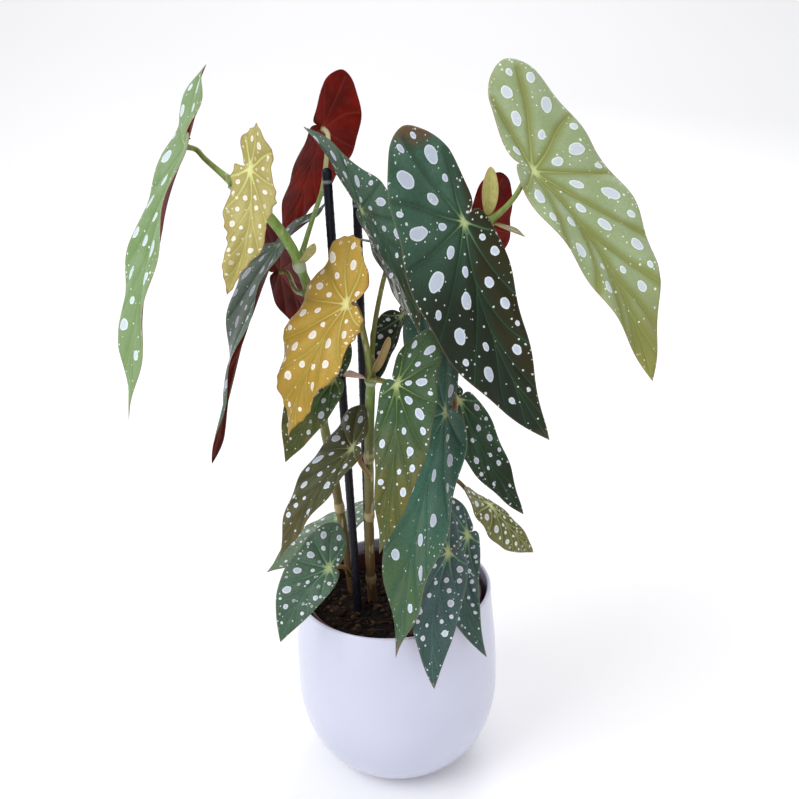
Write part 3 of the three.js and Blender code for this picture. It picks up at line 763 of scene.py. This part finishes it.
LARGE_SPOTS = dict(fill=0.37, largest=4.3, least=2.9, stretch=0.95, crowd=0.55, most=26, groove=0.55,
                   pillow=0.85)
MIDDLE_SPOTS = dict(LARGE_SPOTS, largest=3.0, least=2.3, stretch=0.6, crowd=0.62, most=28)
SMALL_SPOTS = dict(LARGE_SPOTS, largest=2.3, least=1.9, stretch=0.4, crowd=0.8, most=40, groove=0.3,
                   pillow=0.4)
SPOTS = {
    "far_left": dict(LARGE_SPOTS, largest=3.6),
    "left_small": dict(MIDDLE_SPOTS, largest=1.6, least=1.9, groove=0.5, pillow=0.8, teeth=1.3,
                       margin_step=0.8),
    "left_edge": dict(LARGE_SPOTS, largest=3.5),
    "front_gold": dict(MIDDLE_SPOTS, largest=2.7, least=2.2, groove=0.5, pillow=0.9, teeth=1.3,
                       margin_step=0.8),
    "top_long": dict(LARGE_SPOTS, largest=3.0),
    "right_large": LARGE_SPOTS,
    "right_top": dict(LARGE_SPOTS, largest=3.9, pillow=0.8),
    "front_green": dict(LARGE_SPOTS, largest=3.1, least=2.2, most=17, crowd=0.75),
    "front_long": dict(LARGE_SPOTS, largest=4.4, least=3.0, stretch=0.6, most=20),
    "right_middle": dict(LARGE_SPOTS, largest=3.1, least=2.4, stretch=0.5, most=18),
    "left_brown": dict(LARGE_SPOTS, largest=3.0, least=2.2, stretch=0.6, most=18, crowd=0.7),
    "behind_gold": dict(MIDDLE_SPOTS, largest=2.5),
    "over_rim": dict(SMALL_SPOTS, largest=3.0, most=26),
    "rim_left": dict(MIDDLE_SPOTS, largest=2.6, least=2.1),
}
TONE_CHANGES = {
    "right_large": dict(base="3a5946", sheen_patch="587a67", side="2c280f", side_sign=-1, side_amount=0.95,
                        band="1d3424", vein_tint_and_shade_width=4.2, vein_tint_and_shade_amount=0.55, top_amount=0.85, tip="1a1a0b",
                        tip_from=-0.08),
    "top_long": dict(base="44624e", sheen_patch="567462", side_sign=-1, fold_sheen_amount=0.85),
    "left_edge": dict(base="66796c", sheen_patch="74836f", tip="5d6a5c", under="571610", under_deep="3a0d09"),
    "left_under": dict(under="701a11", under_deep="480f0a"),
    "left_small": dict(base="aaa062", sheen_patch="bab676", band="a0924a", tip="b2a86a", deep="988646",
                       line="ced088", end_amount=0.8, top="a3ad62", top_amount=0.8),
    "front_long": dict(base="3d6655", sheen_patch="4f7a68", tip="4b6440", tip_from=0.3, end_amount=0.95),
    "over_rim": dict(base="486160", sheen_patch="5a706e", tip="3f5450", band="385250"),
    "rim_right": dict(base="46605c", sheen_patch="566f6b", tip="42584f", band="38524c"),
    "rim_left": dict(base="546c58", sheen_patch="627966", tip="4c6150", band="42604c"),
    "soil_left": dict(base="74866f", sheen_patch="86967f", tip="66785f", band="5f755a"),
    "behind_gold": dict(base="4d6a42", sheen_patch="64805a"),
    "right_low": dict(base="6d7040", sheen_patch="7f8455", band="55502a"),
    "right_middle": dict(base="2f4a33", sheen_patch="3d5a3f", tip="222a14"),
    # painted shade: this leaf, deep in the middle of the plant, gets darker base, patch and tip colours
    "centre_dark": dict(base="26301f", sheen_patch="323c28", tip="1c1f12"),
}
# The blades' mesh spacing and thickness are in mm.
BLADE_SPACING, BLADE_THICKNESS, FIRST_LEAF_SEED = 1.25, 0.6, 100


def build_leaves():
    for index, leaf in enumerate(LEAVES):
        name = leaf["name"]
        tone = {**PLAIN_TONE, **TONES[leaf["look"]], **TONE_CHANGES.get(name, {})}
        points, faces, kinds, values = leaf_mesh(leaf, SPOTS.get(name, SMALL_SPOTS), BLADE_SPACING,
                                                 BLADE_THICKNESS, FIRST_LEAF_SEED + index)
        points = np.clip(points, CAD_BOX[0], CAD_BOX[1])
        materials = [upper_material("upper_leaf_" + name, tone), lower_material("lower_leaf_" + name, tone)]
        made = make_object("blade_" + name, points, faces, materials, kinds, values)
        place(made, "leaf_" + leaf["look"], "leaf_" + name)


# ---------------------------------------------------------------- canes, petioles and stipules

STIPULES = [
    dict(name="centre_up", knot=(-8, -43, 306), tip=(4, -55, 335), turn=180, width=4.4, look="gold"),
    dict(name="centre_left", knot=(-8, -43, 306), tip=(-24, -50, 311), turn=0, width=6, look="pink"),
    dict(name="right_up", knot=(66, -26, 395), tip=(67, -31, 427), turn=180, width=5, look="lime"),
    dict(name="right_side", knot=(66, -26, 395), tip=(87, -31, 386), turn=0, width=5, look="green"),
    dict(name="left", knot=(-49, -8, 370), tip=(-38, -24, 386), turn=180, width=4.2, look="lime"),
]
STIPULE_TONES = {"gold": ("b9ae66", "d0a184"), "pink": ("dcc9ba", "d6ab98"), "lime": ("bdb968", "cdc983"),
                 "green": ("9aa678", "c0bc90")}
CANE_RADIUS, KNOT_RADIUS, PETIOLE_RADIUS, SOIL_HEIGHT = 3.4, 4.6, 1.7, 120.0
THICK_PETIOLES = {"front_gold": 1.25}

# Each cane turns green from a height (mm), over a height, up to a share.  Each petiole: the leaf it
# carries, its points from the cane, and how red it is, below zero for pale.
CANES = [
    dict(name="left", young=(348, 14, 1),
         stem=[(-31, 19, 121), (-34, 20, 163), (-39, 17, 220), (-44, 10, 275), (-45, 2, 319), (-45, -4, 354),
               (-49, -8, 370), (-52, -12, 381), (-62, -25, 402), (-80, -38, 425)],
         knots=[(-49, -8, 370), (-80, -38, 425)],
         scars=[(-36, 19, 190), (-43, 12, 262), (-45, 1, 325)],
         petioles=[("far_left", [(-80, -38, 425), (-86, -36, 430), (-96, -29, 438)], 0.1),
                   ("left_small", [(-80, -38, 425), (-75, -40, 428)], 0.2),
                   ("left_edge", [(-49, -8, 370), (-52, 4, 371)], 0.3),
                   ("left_under", [(-46, -6, 352), (-54, 12, 350)], 0.3),
                   ("back_top", [(-49, -8, 372), (-40, 12, 396), (-34, 30, 411), (-31, 41, 427)], -0.8),
                   ("behind_gold", [(-43, 11, 271), (-36, -8, 287)], 0.5),
                   ("soil_left", [(-33, 20, 146), (-36, 36, 150)], 0.6),
                   ("rim_left", [(-32, 19, 135), (-34, -14, 160)], 0.6)]),
    dict(name="centre", young=(261, 60, 0.7),
         stem=[(-16, 4, 121), (-16, -3, 158), (-14, -10, 208), (-12, -20, 249), (-10, -31, 281),
               (-8, -43, 306)],
         knots=[(-8, -43, 306)],
         scars=[(-14, -8, 196), (-12, -19, 244), (-16, 0, 142)],
         petioles=[("front_gold", [(-8, -43, 306), (-10, -50, 331)], 0.25),
                   ("front_green", [(-8, -43, 306), (-2, -56, 309)], 0.4),
                   ("left_brown", [(-13, -16, 230), (-18, -30, 246)], 0.8),
                   ("back_small", [(-8, -43, 306), (-5, -24, 330), (2, 4, 354)], 0.3)]),
    dict(name="right", young=(350, 60, 0.7),
         stem=[(9, 37, 121), (15, 30, 165), (24, 27, 216), (35, 24, 277), (44, 18, 309), (53, 4, 345),
               (61, -15, 377), (66, -26, 395)],
         knots=[(44, 18, 309), (66, -26, 395)],
         scars=[(18, 29, 180), (27, 26, 235), (12, 33, 145), (58, -8, 364)],
         petioles=[("right_large", [(66, -26, 395), (59, -38, 394)], 0.2),
                   ("right_top", [(66, -26, 395), (73, -27, 400), (81, -30, 409)], 0.1),
                   ("top_long", [(44, 18, 309), (34, 10, 346), (8, 5, 388)], 0.3),
                   ("front_long", [(44, 18, 309), (41, -18, 308)], 0.5),
                   ("right_middle", [(34, 24, 272), (43, 18, 268)], 0.6),
                   ("centre_dark", [(44, 18, 309), (30, 20, 326)], 0.5),
                   ("right_low", [(22, 27, 205), (46, 21, 207)], 0.6),
                   ("over_rim", [(12, 32, 148), (12, -18, 172), (20, -46, 186)], 0.6),
                   ("rim_right", [(14, 31, 157), (36, -4, 180)], 0.6),
                   ("back_red", [(66, -26, 393), (67, -16, 393)], 0.3)]),
]


def cane_material():
    """Green to olive stem, brown and corky low down, reddish petioles, pale lenticels and node rings."""
    g = Graph("cane_skin")
    where = g.object_place()
    height, red, scar, young = g.attributes("height", "red", "scar", "young")
    cloud = g.noise(where, 55.0, 4.0)
    along = g.stretched(where, (1, 1, 0.18))
    streak = g.noise(along, 420.0, 4.0)
    fleck = g.step(g.cells(along, 260.0)[0], 0.3, 0.16)
    color = g.mix(g.step(g.plus(height, g.times(cloud, 0.08)), 0.16, 0.33), "6b5230", "6f7a3c")
    color = g.mix(young, color, "88a954")
    color = g.tint(color, "5b4426", g.step(streak, 0.4, 0.75), 0.4)
    color = g.mix(red, color, "8a3f2c")
    color = g.mix(g.step(red, 0.0, -0.8), color, "cfc79a")
    color = g.tint(color, g.mix(young, "b9a878", "c3cfb9"), g.step(scar, 0.2, 0.9), 0.75)
    color = g.tint(color, "c9c79a", fleck, 0.55)
    color = g.tint(color, "4a3420", g.step(height, 0.17, 0.12), 0.75)
    relief = g.plus(g.times(streak, 0.6), g.times(fleck, 0.5))
    return g.finish(color, g.grade(cloud, 0.25, 0.36), 0.4, (relief, 0.0007, 0.6))


def bell(distance, width):
    return np.exp(-((distance / width) ** 2))


def build_canes():
    skin = cane_material()
    leaves = {leaf["name"]: leaf for leaf in LEAVES}
    for cane in CANES:
        bundle = Bundle()
        x, y, _ = cane["stem"][0]
        path = spaced_path([(x, y, SOIL_HEIGHT - 20), *cane["stem"]], 170)
        swellings = [(np.array(k, float), 1.15) for k in cane["knots"]]
        swellings += [(np.array(k, float), 0.55) for k in cane["scars"]]

        def stem_radius(share, _):
            here = path[min(int(round(share * (len(path) - 1))), len(path) - 1)]
            radius = CANE_RADIUS * (1.02 - 0.12 * share)
            for knot, rise in swellings:
                gap = np.linalg.norm(here - knot)
                radius += rise * bell(gap, 3.4) - 0.25 * bell(gap - 6.5, 3.0)
            return radius

        points, faces, _ = tube(path, stem_radius, 20)
        rings = [bell(np.linalg.norm(points - knot, axis=1) - 4.2, 0.9) for knot, _ in swellings]
        start, over, most = cane["young"]
        bundle.add(points, faces, height=points[:, 2] * MM, red=0, scar=np.max(rings, axis=0),
                   young=np.clip((points[:, 2] - start) / over, 0, most))
        for leaf_name, route, red in cane["petioles"]:
            leaf = leaves[leaf_name]
            joint, _, _, _, out = blade_axes(leaf["joint"], leaf["tip"], leaf["turn"])
            radius = PETIOLE_RADIUS * THICK_PETIOLES.get(leaf_name, 1.0)

            def petiole_radius(share, reach):
                return radius * (0.92 + 0.9 * math.exp(-reach / 6.0) + 0.175 * bell(1 - share, 0.05))

            points, faces, along = tube(spaced_path([*route, joint - out * 6, joint - out * 0.4], 46),
                                        petiole_radius, 12)
            share = along / along.max()
            tint = np.clip(red * (0.5 + share), 0, 0.85) if red > 0 else red * share ** 2
            bundle.add(points, faces, height=points[:, 2] * MM, red=tint, scar=0, young=0.75)
        place(bundle.make("cane_" + cane["name"] + "_skin", skin), "cane", "cane_" + cane["name"])


def stipule_material(name, inner, outer):
    g = Graph(name)
    run, side = g.attributes("run", "side")
    flat = g.flat()
    lines = g.noise(g.stretched(flat, (0.12, 1, 1)), 170.0)
    color = g.mix(g.step(g.noise(flat, 30.0), 0.3, 0.75), inner, outer)
    color = g.tint(color, "8f8a48", g.step(lines, 0.45, 0.7), 0.4)
    color = g.tint(color, "b98a64", g.step(g.math("ABSOLUTE", side), 0.72, 1.0), 0.5)
    color = g.tint(color, "7f8f3e", g.step(run, 0.3, 0.0), 0.4)
    return g.finish(color, g.grade(lines, 0.2, 0.42), 0.3, (lines, 0.0006, 0.5))


def build_stipules():
    """Pointed papery sheaths: cupped round their length, with a raised keel and a wavy edge."""
    rows, columns, half_thickness = 44, 25, 0.28
    total = rows * columns
    quads = [(a, a + 1, a + columns + 1, a + columns)
             for a in range(total - columns) if a % columns < columns - 1]
    border = [*range(columns), *range(2 * columns - 1, total, columns),
              *range(total - 2, total - columns - 1, -1), *range(total - 2 * columns, 0, -columns)]
    faces = quads + [tuple(v + total for v in reversed(quad)) for quad in quads]
    faces += [(b, a, a + total, b + total) for a, b in zip(border, border[1:] + border[:1])]
    for index, stipule in enumerate(STIPULES):
        centre = np.array(stipule["knot"], float)
        reach = np.array(stipule["tip"], float) - centre
        joint = centre + reach / np.linalg.norm(reach) * (KNOT_RADIUS - 0.8)
        start, length, along, across, out = blade_axes(joint, stipule["tip"], stipule["turn"])
        middle, runs, sides, flat = [], [], [], []
        for run in (i / (rows - 1) for i in range(rows)):
            half = stipule["width"] * max(4 * run * (1 - run), 0.004) ** 0.46 * (1 - 0.22 * run ** 5)
            for s in (2 * j / (columns - 1) - 1 for j in range(columns)):
                cup = 0.06 * (s * half) ** 2
                keel = -0.3 * bell(s * half, 0.6) * math.sin(math.pi * run)
                wave = 0.3 * abs(s) ** 3 * math.sin(run * 9 + index * 2 + (2 if s > 0 else 0))
                middle.append(start + along * run * length + across * s * half + out * (cup + keel + wave))
                runs.append(run)
                sides.append(s)
                flat.append((run * length * 0.01, s * half * 0.01, 0))
        middle = np.array(middle)
        points = np.concatenate([middle + out * half_thickness, middle - out * half_thickness])
        material = stipule_material("sheath_stipule_" + stipule["name"], *STIPULE_TONES[stipule["look"]])
        made = make_object("sheath_" + stipule["name"], points * MM, faces, [material],
                           attributes=dict(run=runs * 2, side=sides * 2, flat=flat * 2))
        place(made, "stipule", "stipule_" + stipule["name"])


# ---------------------------------------------------------------- pots, soil and stakes

POT_HEIGHT, POT_RADIUS, FOOT_RADIUS, BELLY_HEIGHT = 137.0, 72.5, 30.0, 62.0
RIM_RADIUS, RIM_WALL, POT_FLOOR, FLOOR_RADIUS = 69.0, 2.6, 10.0, 43.0


def quarter(start_radius, start_height, end_radius, end_height, count):
    return [(start_radius + (end_radius - start_radius) * math.sin(angle),
             end_height - (end_height - start_height) * math.cos(angle))
            for angle in (i / count * math.pi / 2 for i in range(count + 1))]


def glaze_material():
    """White satin glaze with soft tint changes and a few specks, and bare clay on the foot ring."""
    g = Graph("glaze")
    where = g.object_place()
    height = g.node("ShaderNodeSeparateXYZ", {0: where}).outputs[2]
    cloud, fine = g.noise(where, 9.0), g.noise(where, 140.0, 4.0)
    color = g.mix(g.step(cloud, 0.3, 0.75), "c8cadb", "bfc1d4")
    color = g.tint(color, "b9bad0", g.step(fine, 0.55, 0.8), 0.12)
    clay = g.step(g.plus(height, g.times(cloud, 0.0012)), 0.0016, 0.0006)
    color = g.mix(clay, color, "cdb9a2")
    distance, pick, _ = g.cells(where, 240.0)
    speck = g.times(g.step(distance, 0.13, 0.07), g.math("GREATER_THAN", pick, 0.985))
    color = g.tint(color, "9c948c", speck, 0.35)
    rough = g.plus(g.times(clay, 0.5), g.grade(cloud, 0.08, 0.2))
    relief = g.plus(g.noise(where, 28.0, 2.0), g.times(fine, 0.12))
    return g.finish(color, rough, 0.5, (relief, 0.0009, 0.35), coat=(0.25, 0.12))


def plastic_material():
    g = Graph("nursery_plastic")
    where = g.object_place()
    cloud, dust = g.noise(where, 40.0, 4.0), g.noise(where, 300.0, 4.0)
    color = g.mix(cloud, "43160f", "30110d")
    color = g.tint(color, "6b5140", g.step(dust, 0.55, 0.8), 0.4)
    relief = g.plus(cloud, g.times(dust, 0.4))
    return g.finish(color, g.grade(dust, 0.25, 0.35), 0.4, (relief, 0.0006, 0.4))


def soil_material():
    g = Graph("potting_soil")
    where = g.object_place()
    coarse, fine = g.noise(where, 90.0, 5.0), g.noise(where, 480.0, 5.0)
    color = g.mix(g.step(coarse, 0.35, 0.7), "0b0605", "1a110c")
    color = g.tint(color, "291c14", g.step(fine, 0.5, 0.75), 0.5)
    color = g.mix(*g.attributes("tint"), color, "523e2b")
    return g.finish(color, g.grade(fine, 0.15, 0.82), 0.15, (g.plus(coarse, fine), 0.002, 0.9))


def stake_material():
    g = Graph("stake_coating")
    where = g.object_place()
    cloud, fine = g.noise(where, 60.0), g.noise(where, 520.0)
    color = g.mix(cloud, "0d0d16", "1b1a26")
    color = g.tint(color, "3c3a46", g.step(fine, 0.55, 0.8), 0.35)
    # painted highlight: a pale ring along the lower edge of each stake's cap
    color = g.mix(*g.attributes("cap"), color, "8e8a92")
    return g.finish(color, g.grade(cloud, 0.2, 0.3), 0.22, (fine, 0.0005, 0.4))


def build_pots():
    inner_rim, inner_belly, lip = RIM_RADIUS - RIM_WALL, POT_RADIUS - 4, RIM_WALL / 2
    foot = [(0, 1.2), (FOOT_RADIUS - 6, 1.2), (FOOT_RADIUS - 4.6, 0.9), (FOOT_RADIUS - 4, 0.0)]
    outer = quarter(FOOT_RADIUS, 0, POT_RADIUS, BELLY_HEIGHT, 30)
    wall = smooth_profile([(POT_RADIUS - 0.02, BELLY_HEIGHT + 2), (POT_RADIUS - 0.6, 92),
                           (RIM_RADIUS + 0.9, 120), (RIM_RADIUS, POT_HEIGHT - lip)], 8)
    round_lip = [(RIM_RADIUS - lip + lip * math.cos(a), POT_HEIGHT - lip + lip * math.sin(a))
                 for a in np.linspace(0.15, math.pi - 0.15, 12)]
    inside_wall = smooth_profile([(inner_rim, POT_HEIGHT - lip), (inner_rim + 0.4, 118), (inner_belly, 88),
                                  (inner_belly, BELLY_HEIGHT + 2)], 8)
    inner = quarter(FLOOR_RADIUS, POT_FLOOR, inner_belly, BELLY_HEIGHT, 16)[::-1]
    profile = foot + outer + wall + round_lip + inside_wall + inner + [(0, POT_FLOOR)]
    place(turned("ceramic_pot", profile, 160, glaze_material()), "glaze", "cover_pot")

    bottom = POT_FLOOR + 0.4
    profile = [(0, bottom), (39, bottom), (41, bottom + 1.5), (60.2, 122.5), (62.3, 123.6), (62.5, 124.4),
               (62.5, 130), (62.1, 130.8), (61.3, 131), (60.2, 130.8), (59.7, 130), (59.3, 128),
               (39.6, bottom + 2.6), (38.5, bottom + 2), (0, bottom + 2)]
    place(turned("nursery_shell", profile, 128, plastic_material()), "nursery_plastic", "nursery_pot")


FULL_DRAW = 6.28    # about a full turn, for random angles


def build_soil():
    """Crumbly soil: an uneven surface with lumps, bark bits and fibres pressed into it."""
    rng = np.random.default_rng(7)
    top, rings, spokes, side_rings = 57.0, 74, 150, 4
    bottom_in, depth = 16, 107
    lumps, fibres = 620, 46
    waves = [[rng.uniform(low, high) for low, high in ((0.05, 1.1), (0, FULL_DRAW), (0, FULL_DRAW), (0.3, 1))]
             for _ in range(26)]

    def surface(x, y):
        z = 0.0
        for size, turn, phase, weight in waves:
            across = x * math.cos(turn) + y * math.sin(turn)
            z += weight / (0.6 + 4 * size) * math.sin(size * across + phase)
        return SOIL_HEIGHT + 0.9 + 0.55 * z

    def somewhere(reach):
        radius, angle = reach * math.sqrt(rng.uniform()), rng.uniform(0, FULL_DRAW)
        return radius * math.cos(angle), radius * math.sin(angle)

    bundle = Bundle()
    points = [(0, 0, surface(0, 0))]
    for i in range(1, rings + 1):
        drop = 1.5 * max(0, (i - rings + 3) / 3)
        points += [(x, y, surface(x, y) - drop) for x, y in circle(top * i / rings, spokes)]
    for i in range(1, side_rings + 1):
        height = SOIL_HEIGHT - depth * i / side_rings
        points += [(x, y, height) for x, y in circle(top - bottom_in * i / side_rings, spokes)]
    starts = range(1, len(points), spokes)
    faces = fan(0, 1, spokes) + [tuple(reversed(range(starts[-1], len(points))))]
    for low, high in zip(starts, starts[1:]):
        faces += band(low, high, spokes, inward=True)
    bundle.add(points, faces, tint=0)
    for _ in range(lumps):
        x, y = somewhere(54)
        size = rng.uniform(0.7, 2.3) if rng.uniform() < 0.85 else rng.uniform(2.3, 3.6)
        lump, sides = lump_mesh(rng, size)
        lump = lump + (x, y, surface(x, y) + size * rng.uniform(-0.1, 0.35))
        bundle.add(lump, sides, tint=rng.uniform(0, 0.35) if rng.uniform() < 0.8 else 0.8)
    for _ in range(fibres):
        x, y = somewhere(50)
        turn, length = rng.uniform(0, FULL_DRAW), rng.uniform(5, 15)
        route = []
        for s in np.linspace(-0.5, 0.5, 5):
            px = x + s * length * math.cos(turn) + rng.normal(0, 0.5)
            py = y + s * length * math.sin(turn) + rng.normal(0, 0.5)
            route.append((px, py, surface(px, py) + 0.5 + 0.9 * math.cos(s * 3.14)))
        fibre, sides, _ = tube(spaced_path(route, 12), lambda share, reach: 0.28, 5)
        bundle.add(fibre, sides, tint=rng.uniform(0.4, 0.95))
    place(bundle.make("soil_crumbs", soil_material()), "soil", "soil")


def lump_mesh(rng, size):
    """A rough crumb: a small ball of rings pushed in and out at random."""
    rows, around = 5, 8
    points = [(0, 0, -size * 0.6)]
    for polar in (math.pi * i / rows for i in range(1, rows)):
        for x, y in circle(1, around):
            r = size * rng.uniform(0.72, 1.15)
            points.append((r * math.sin(polar) * x, r * math.sin(polar) * y, -0.62 * r * math.cos(polar)))
    points.append((0, 0, size * 0.6))
    starts = range(1, 1 + (rows - 1) * around, around)
    faces = fan(0, 1, around, down=True) + fan(len(points) - 1, starts[-1], around)
    for low, high in zip(starts, starts[1:]):
        faces += band(low, high, around)
    spin = rng.uniform(0, FULL_DRAW)
    points = np.array(points) * (rng.uniform(0.8, 1.4), 1, 1)
    turn = np.array([[math.cos(spin), -math.sin(spin), 0], [math.sin(spin), math.cos(spin), 0], [0, 0, 1]])
    return points @ turn.T, faces


STAKES = [("stake_main", (-26, -10, 96), (-29, 5, 427)), ("stake_second", (-19, 39, 96), (-12, 34, 408))]
STAKE_RADIUS, CAP_LENGTH, RIB_SPACING, ROUND_END = 2.86, 9, 6.6, 2.6


def build_stakes():
    """Ribbed stakes with a smooth cap, a rounded end and a painted highlight: a pale ring along the lower edge
    of the cap.
    """
    skin = stake_material()
    for name, foot, top in STAKES:
        foot, top = np.array(foot, float), np.array(top, float)
        length = np.linalg.norm(top - foot)
        stations = list(np.arange(0, length - 12, 1.1)) + list(np.linspace(length - 12, length, 18))
        path = [foot + (top - foot) * s / length for s in stations]

        def radius(_, s):
            rib = 0.16 * max(0.0, math.cos(TURN * s / RIB_SPACING)) ** 6 if s <= length - CAP_LENGTH else 0.22
            end = max(0.0, (s - (length - ROUND_END)) / ROUND_END)
            return STAKE_RADIUS + rib - 1.9 * end ** 2.2

        points, faces, along = tube(path, radius, 24)
        # painted highlight: the pale ring along the cap's lower edge
        cap = np.clip((along - (length - 9.6)) / 0.8, 0, 1) * np.clip((length - 7.2 - along) / 0.8, 0, 1)
        stake = make_object(name + "_ribbed", points * MM, faces, [skin], attributes=dict(cap=cap * 0.9))
        place(stake, "stake_coating", name)


# ---------------------------------------------------------------- setting

# Each lamp: name, place, what it aims at, size, power and colour, in metres and watts.
LAMPS = [("window", (-1.3, -0.9, 1.6), (0, 0, 0.3), 1.2, 23, (0.93, 0.96, 1.0)),
         ("front", (0.9, -1.9, 1.0), (0, 0, 0.25), 1.6, 6, (1.0, 0.98, 0.96)),
         ("back", (0.6, 1.3, 1.5), (0, 0, 0.3), 1.0, 9, (0.96, 0.97, 1.0)),
         ("wall", (0, 1.6, 2.6), (0, 3.2, 0.8), 2.0, 15, (0.98, 0.99, 1.0))]
SKY_COLOUR, SKY_STRENGTH = (0.96, 0.97, 1.0, 1), 0.74
CAMERA_PLACE = (0, -0.56129, 0.47931)
PITCH, YAW, ROLL = math.radians(19.890), math.radians(0.975), math.radians(2.4)
SENSOR, FOCAL_PIXELS, PICTURE_PIXELS = 36, 900, 799


def build_floor():
    """White floor that curves up into a back wall."""
    g = Graph("studio_floor")
    color = g.mix(g.noise(g.object_place(), 1.3), "fdfcfb", "faf9f9")
    near, bend, radius, half_width, below = -4.0, 0.4, 5, 9.0, 0.0004
    sweep = [(near, 0.0), (bend, 0.0)] + [(bend + radius * math.sin(a), radius - radius * math.cos(a))
                                          for a in np.linspace(0.03, 1.5, 40)]
    points = [(x, y, z - below) for x in (-half_width, half_width) for y, z in sweep]
    half = len(sweep)
    faces = [(i, half + i, half + i + 1, i + 1) for i in range(half - 1)]
    floor = make_object("floor", points, faces, [g.finish(color, 0.7, 0.15)])


def build_lights():
    for name, place_at, aim, size, power, color in LAMPS:
        lamp = bpy.data.lights.new(name, "AREA")
        lamp.shape, lamp.size, lamp.energy, lamp.color = "SQUARE", size, power, color
        made = bpy.data.objects.new(name, lamp)
        made.location = place_at
        made.rotation_euler = (Vector(aim) - Vector(place_at)).to_track_quat("-Z", "Y").to_euler()
        bpy.context.collection.objects.link(made)
    world = bpy.data.worlds.new("studio")
    world.use_nodes = True
    sky = world.node_tree.nodes["Background"].inputs
    sky[0].default_value, sky[1].default_value = SKY_COLOUR, SKY_STRENGTH
    bpy.context.scene.world = world
    bpy.context.scene.view_settings.view_transform = "Standard"


def build_camera():
    ahead = Vector((math.sin(YAW) * math.cos(PITCH), math.cos(YAW) * math.cos(PITCH), -math.sin(PITCH)))
    level = Vector((math.cos(YAW), -math.sin(YAW), 0))
    right = level * math.cos(ROLL) - level.cross(ahead) * math.sin(ROLL)
    above = right.cross(ahead)
    lens = bpy.data.cameras.new("camera")
    lens.sensor_width, lens.lens, lens.clip_start = SENSOR, SENSOR * FOCAL_PIXELS / PICTURE_PIXELS, 0.01
    camera = bpy.data.objects.new("camera", lens)
    turn = Matrix((right, above, -ahead)).transposed()
    camera.matrix_world = Matrix.Translation(CAMERA_PLACE) @ turn.to_4x4()
    bpy.context.collection.objects.link(camera)
    bpy.context.scene.camera = camera


build_floor()
build_lights()
build_camera()
build_pots()
build_soil()
build_stakes()
build_canes()
build_stipules()
build_leaves()
bpy.context.view_layer.update()
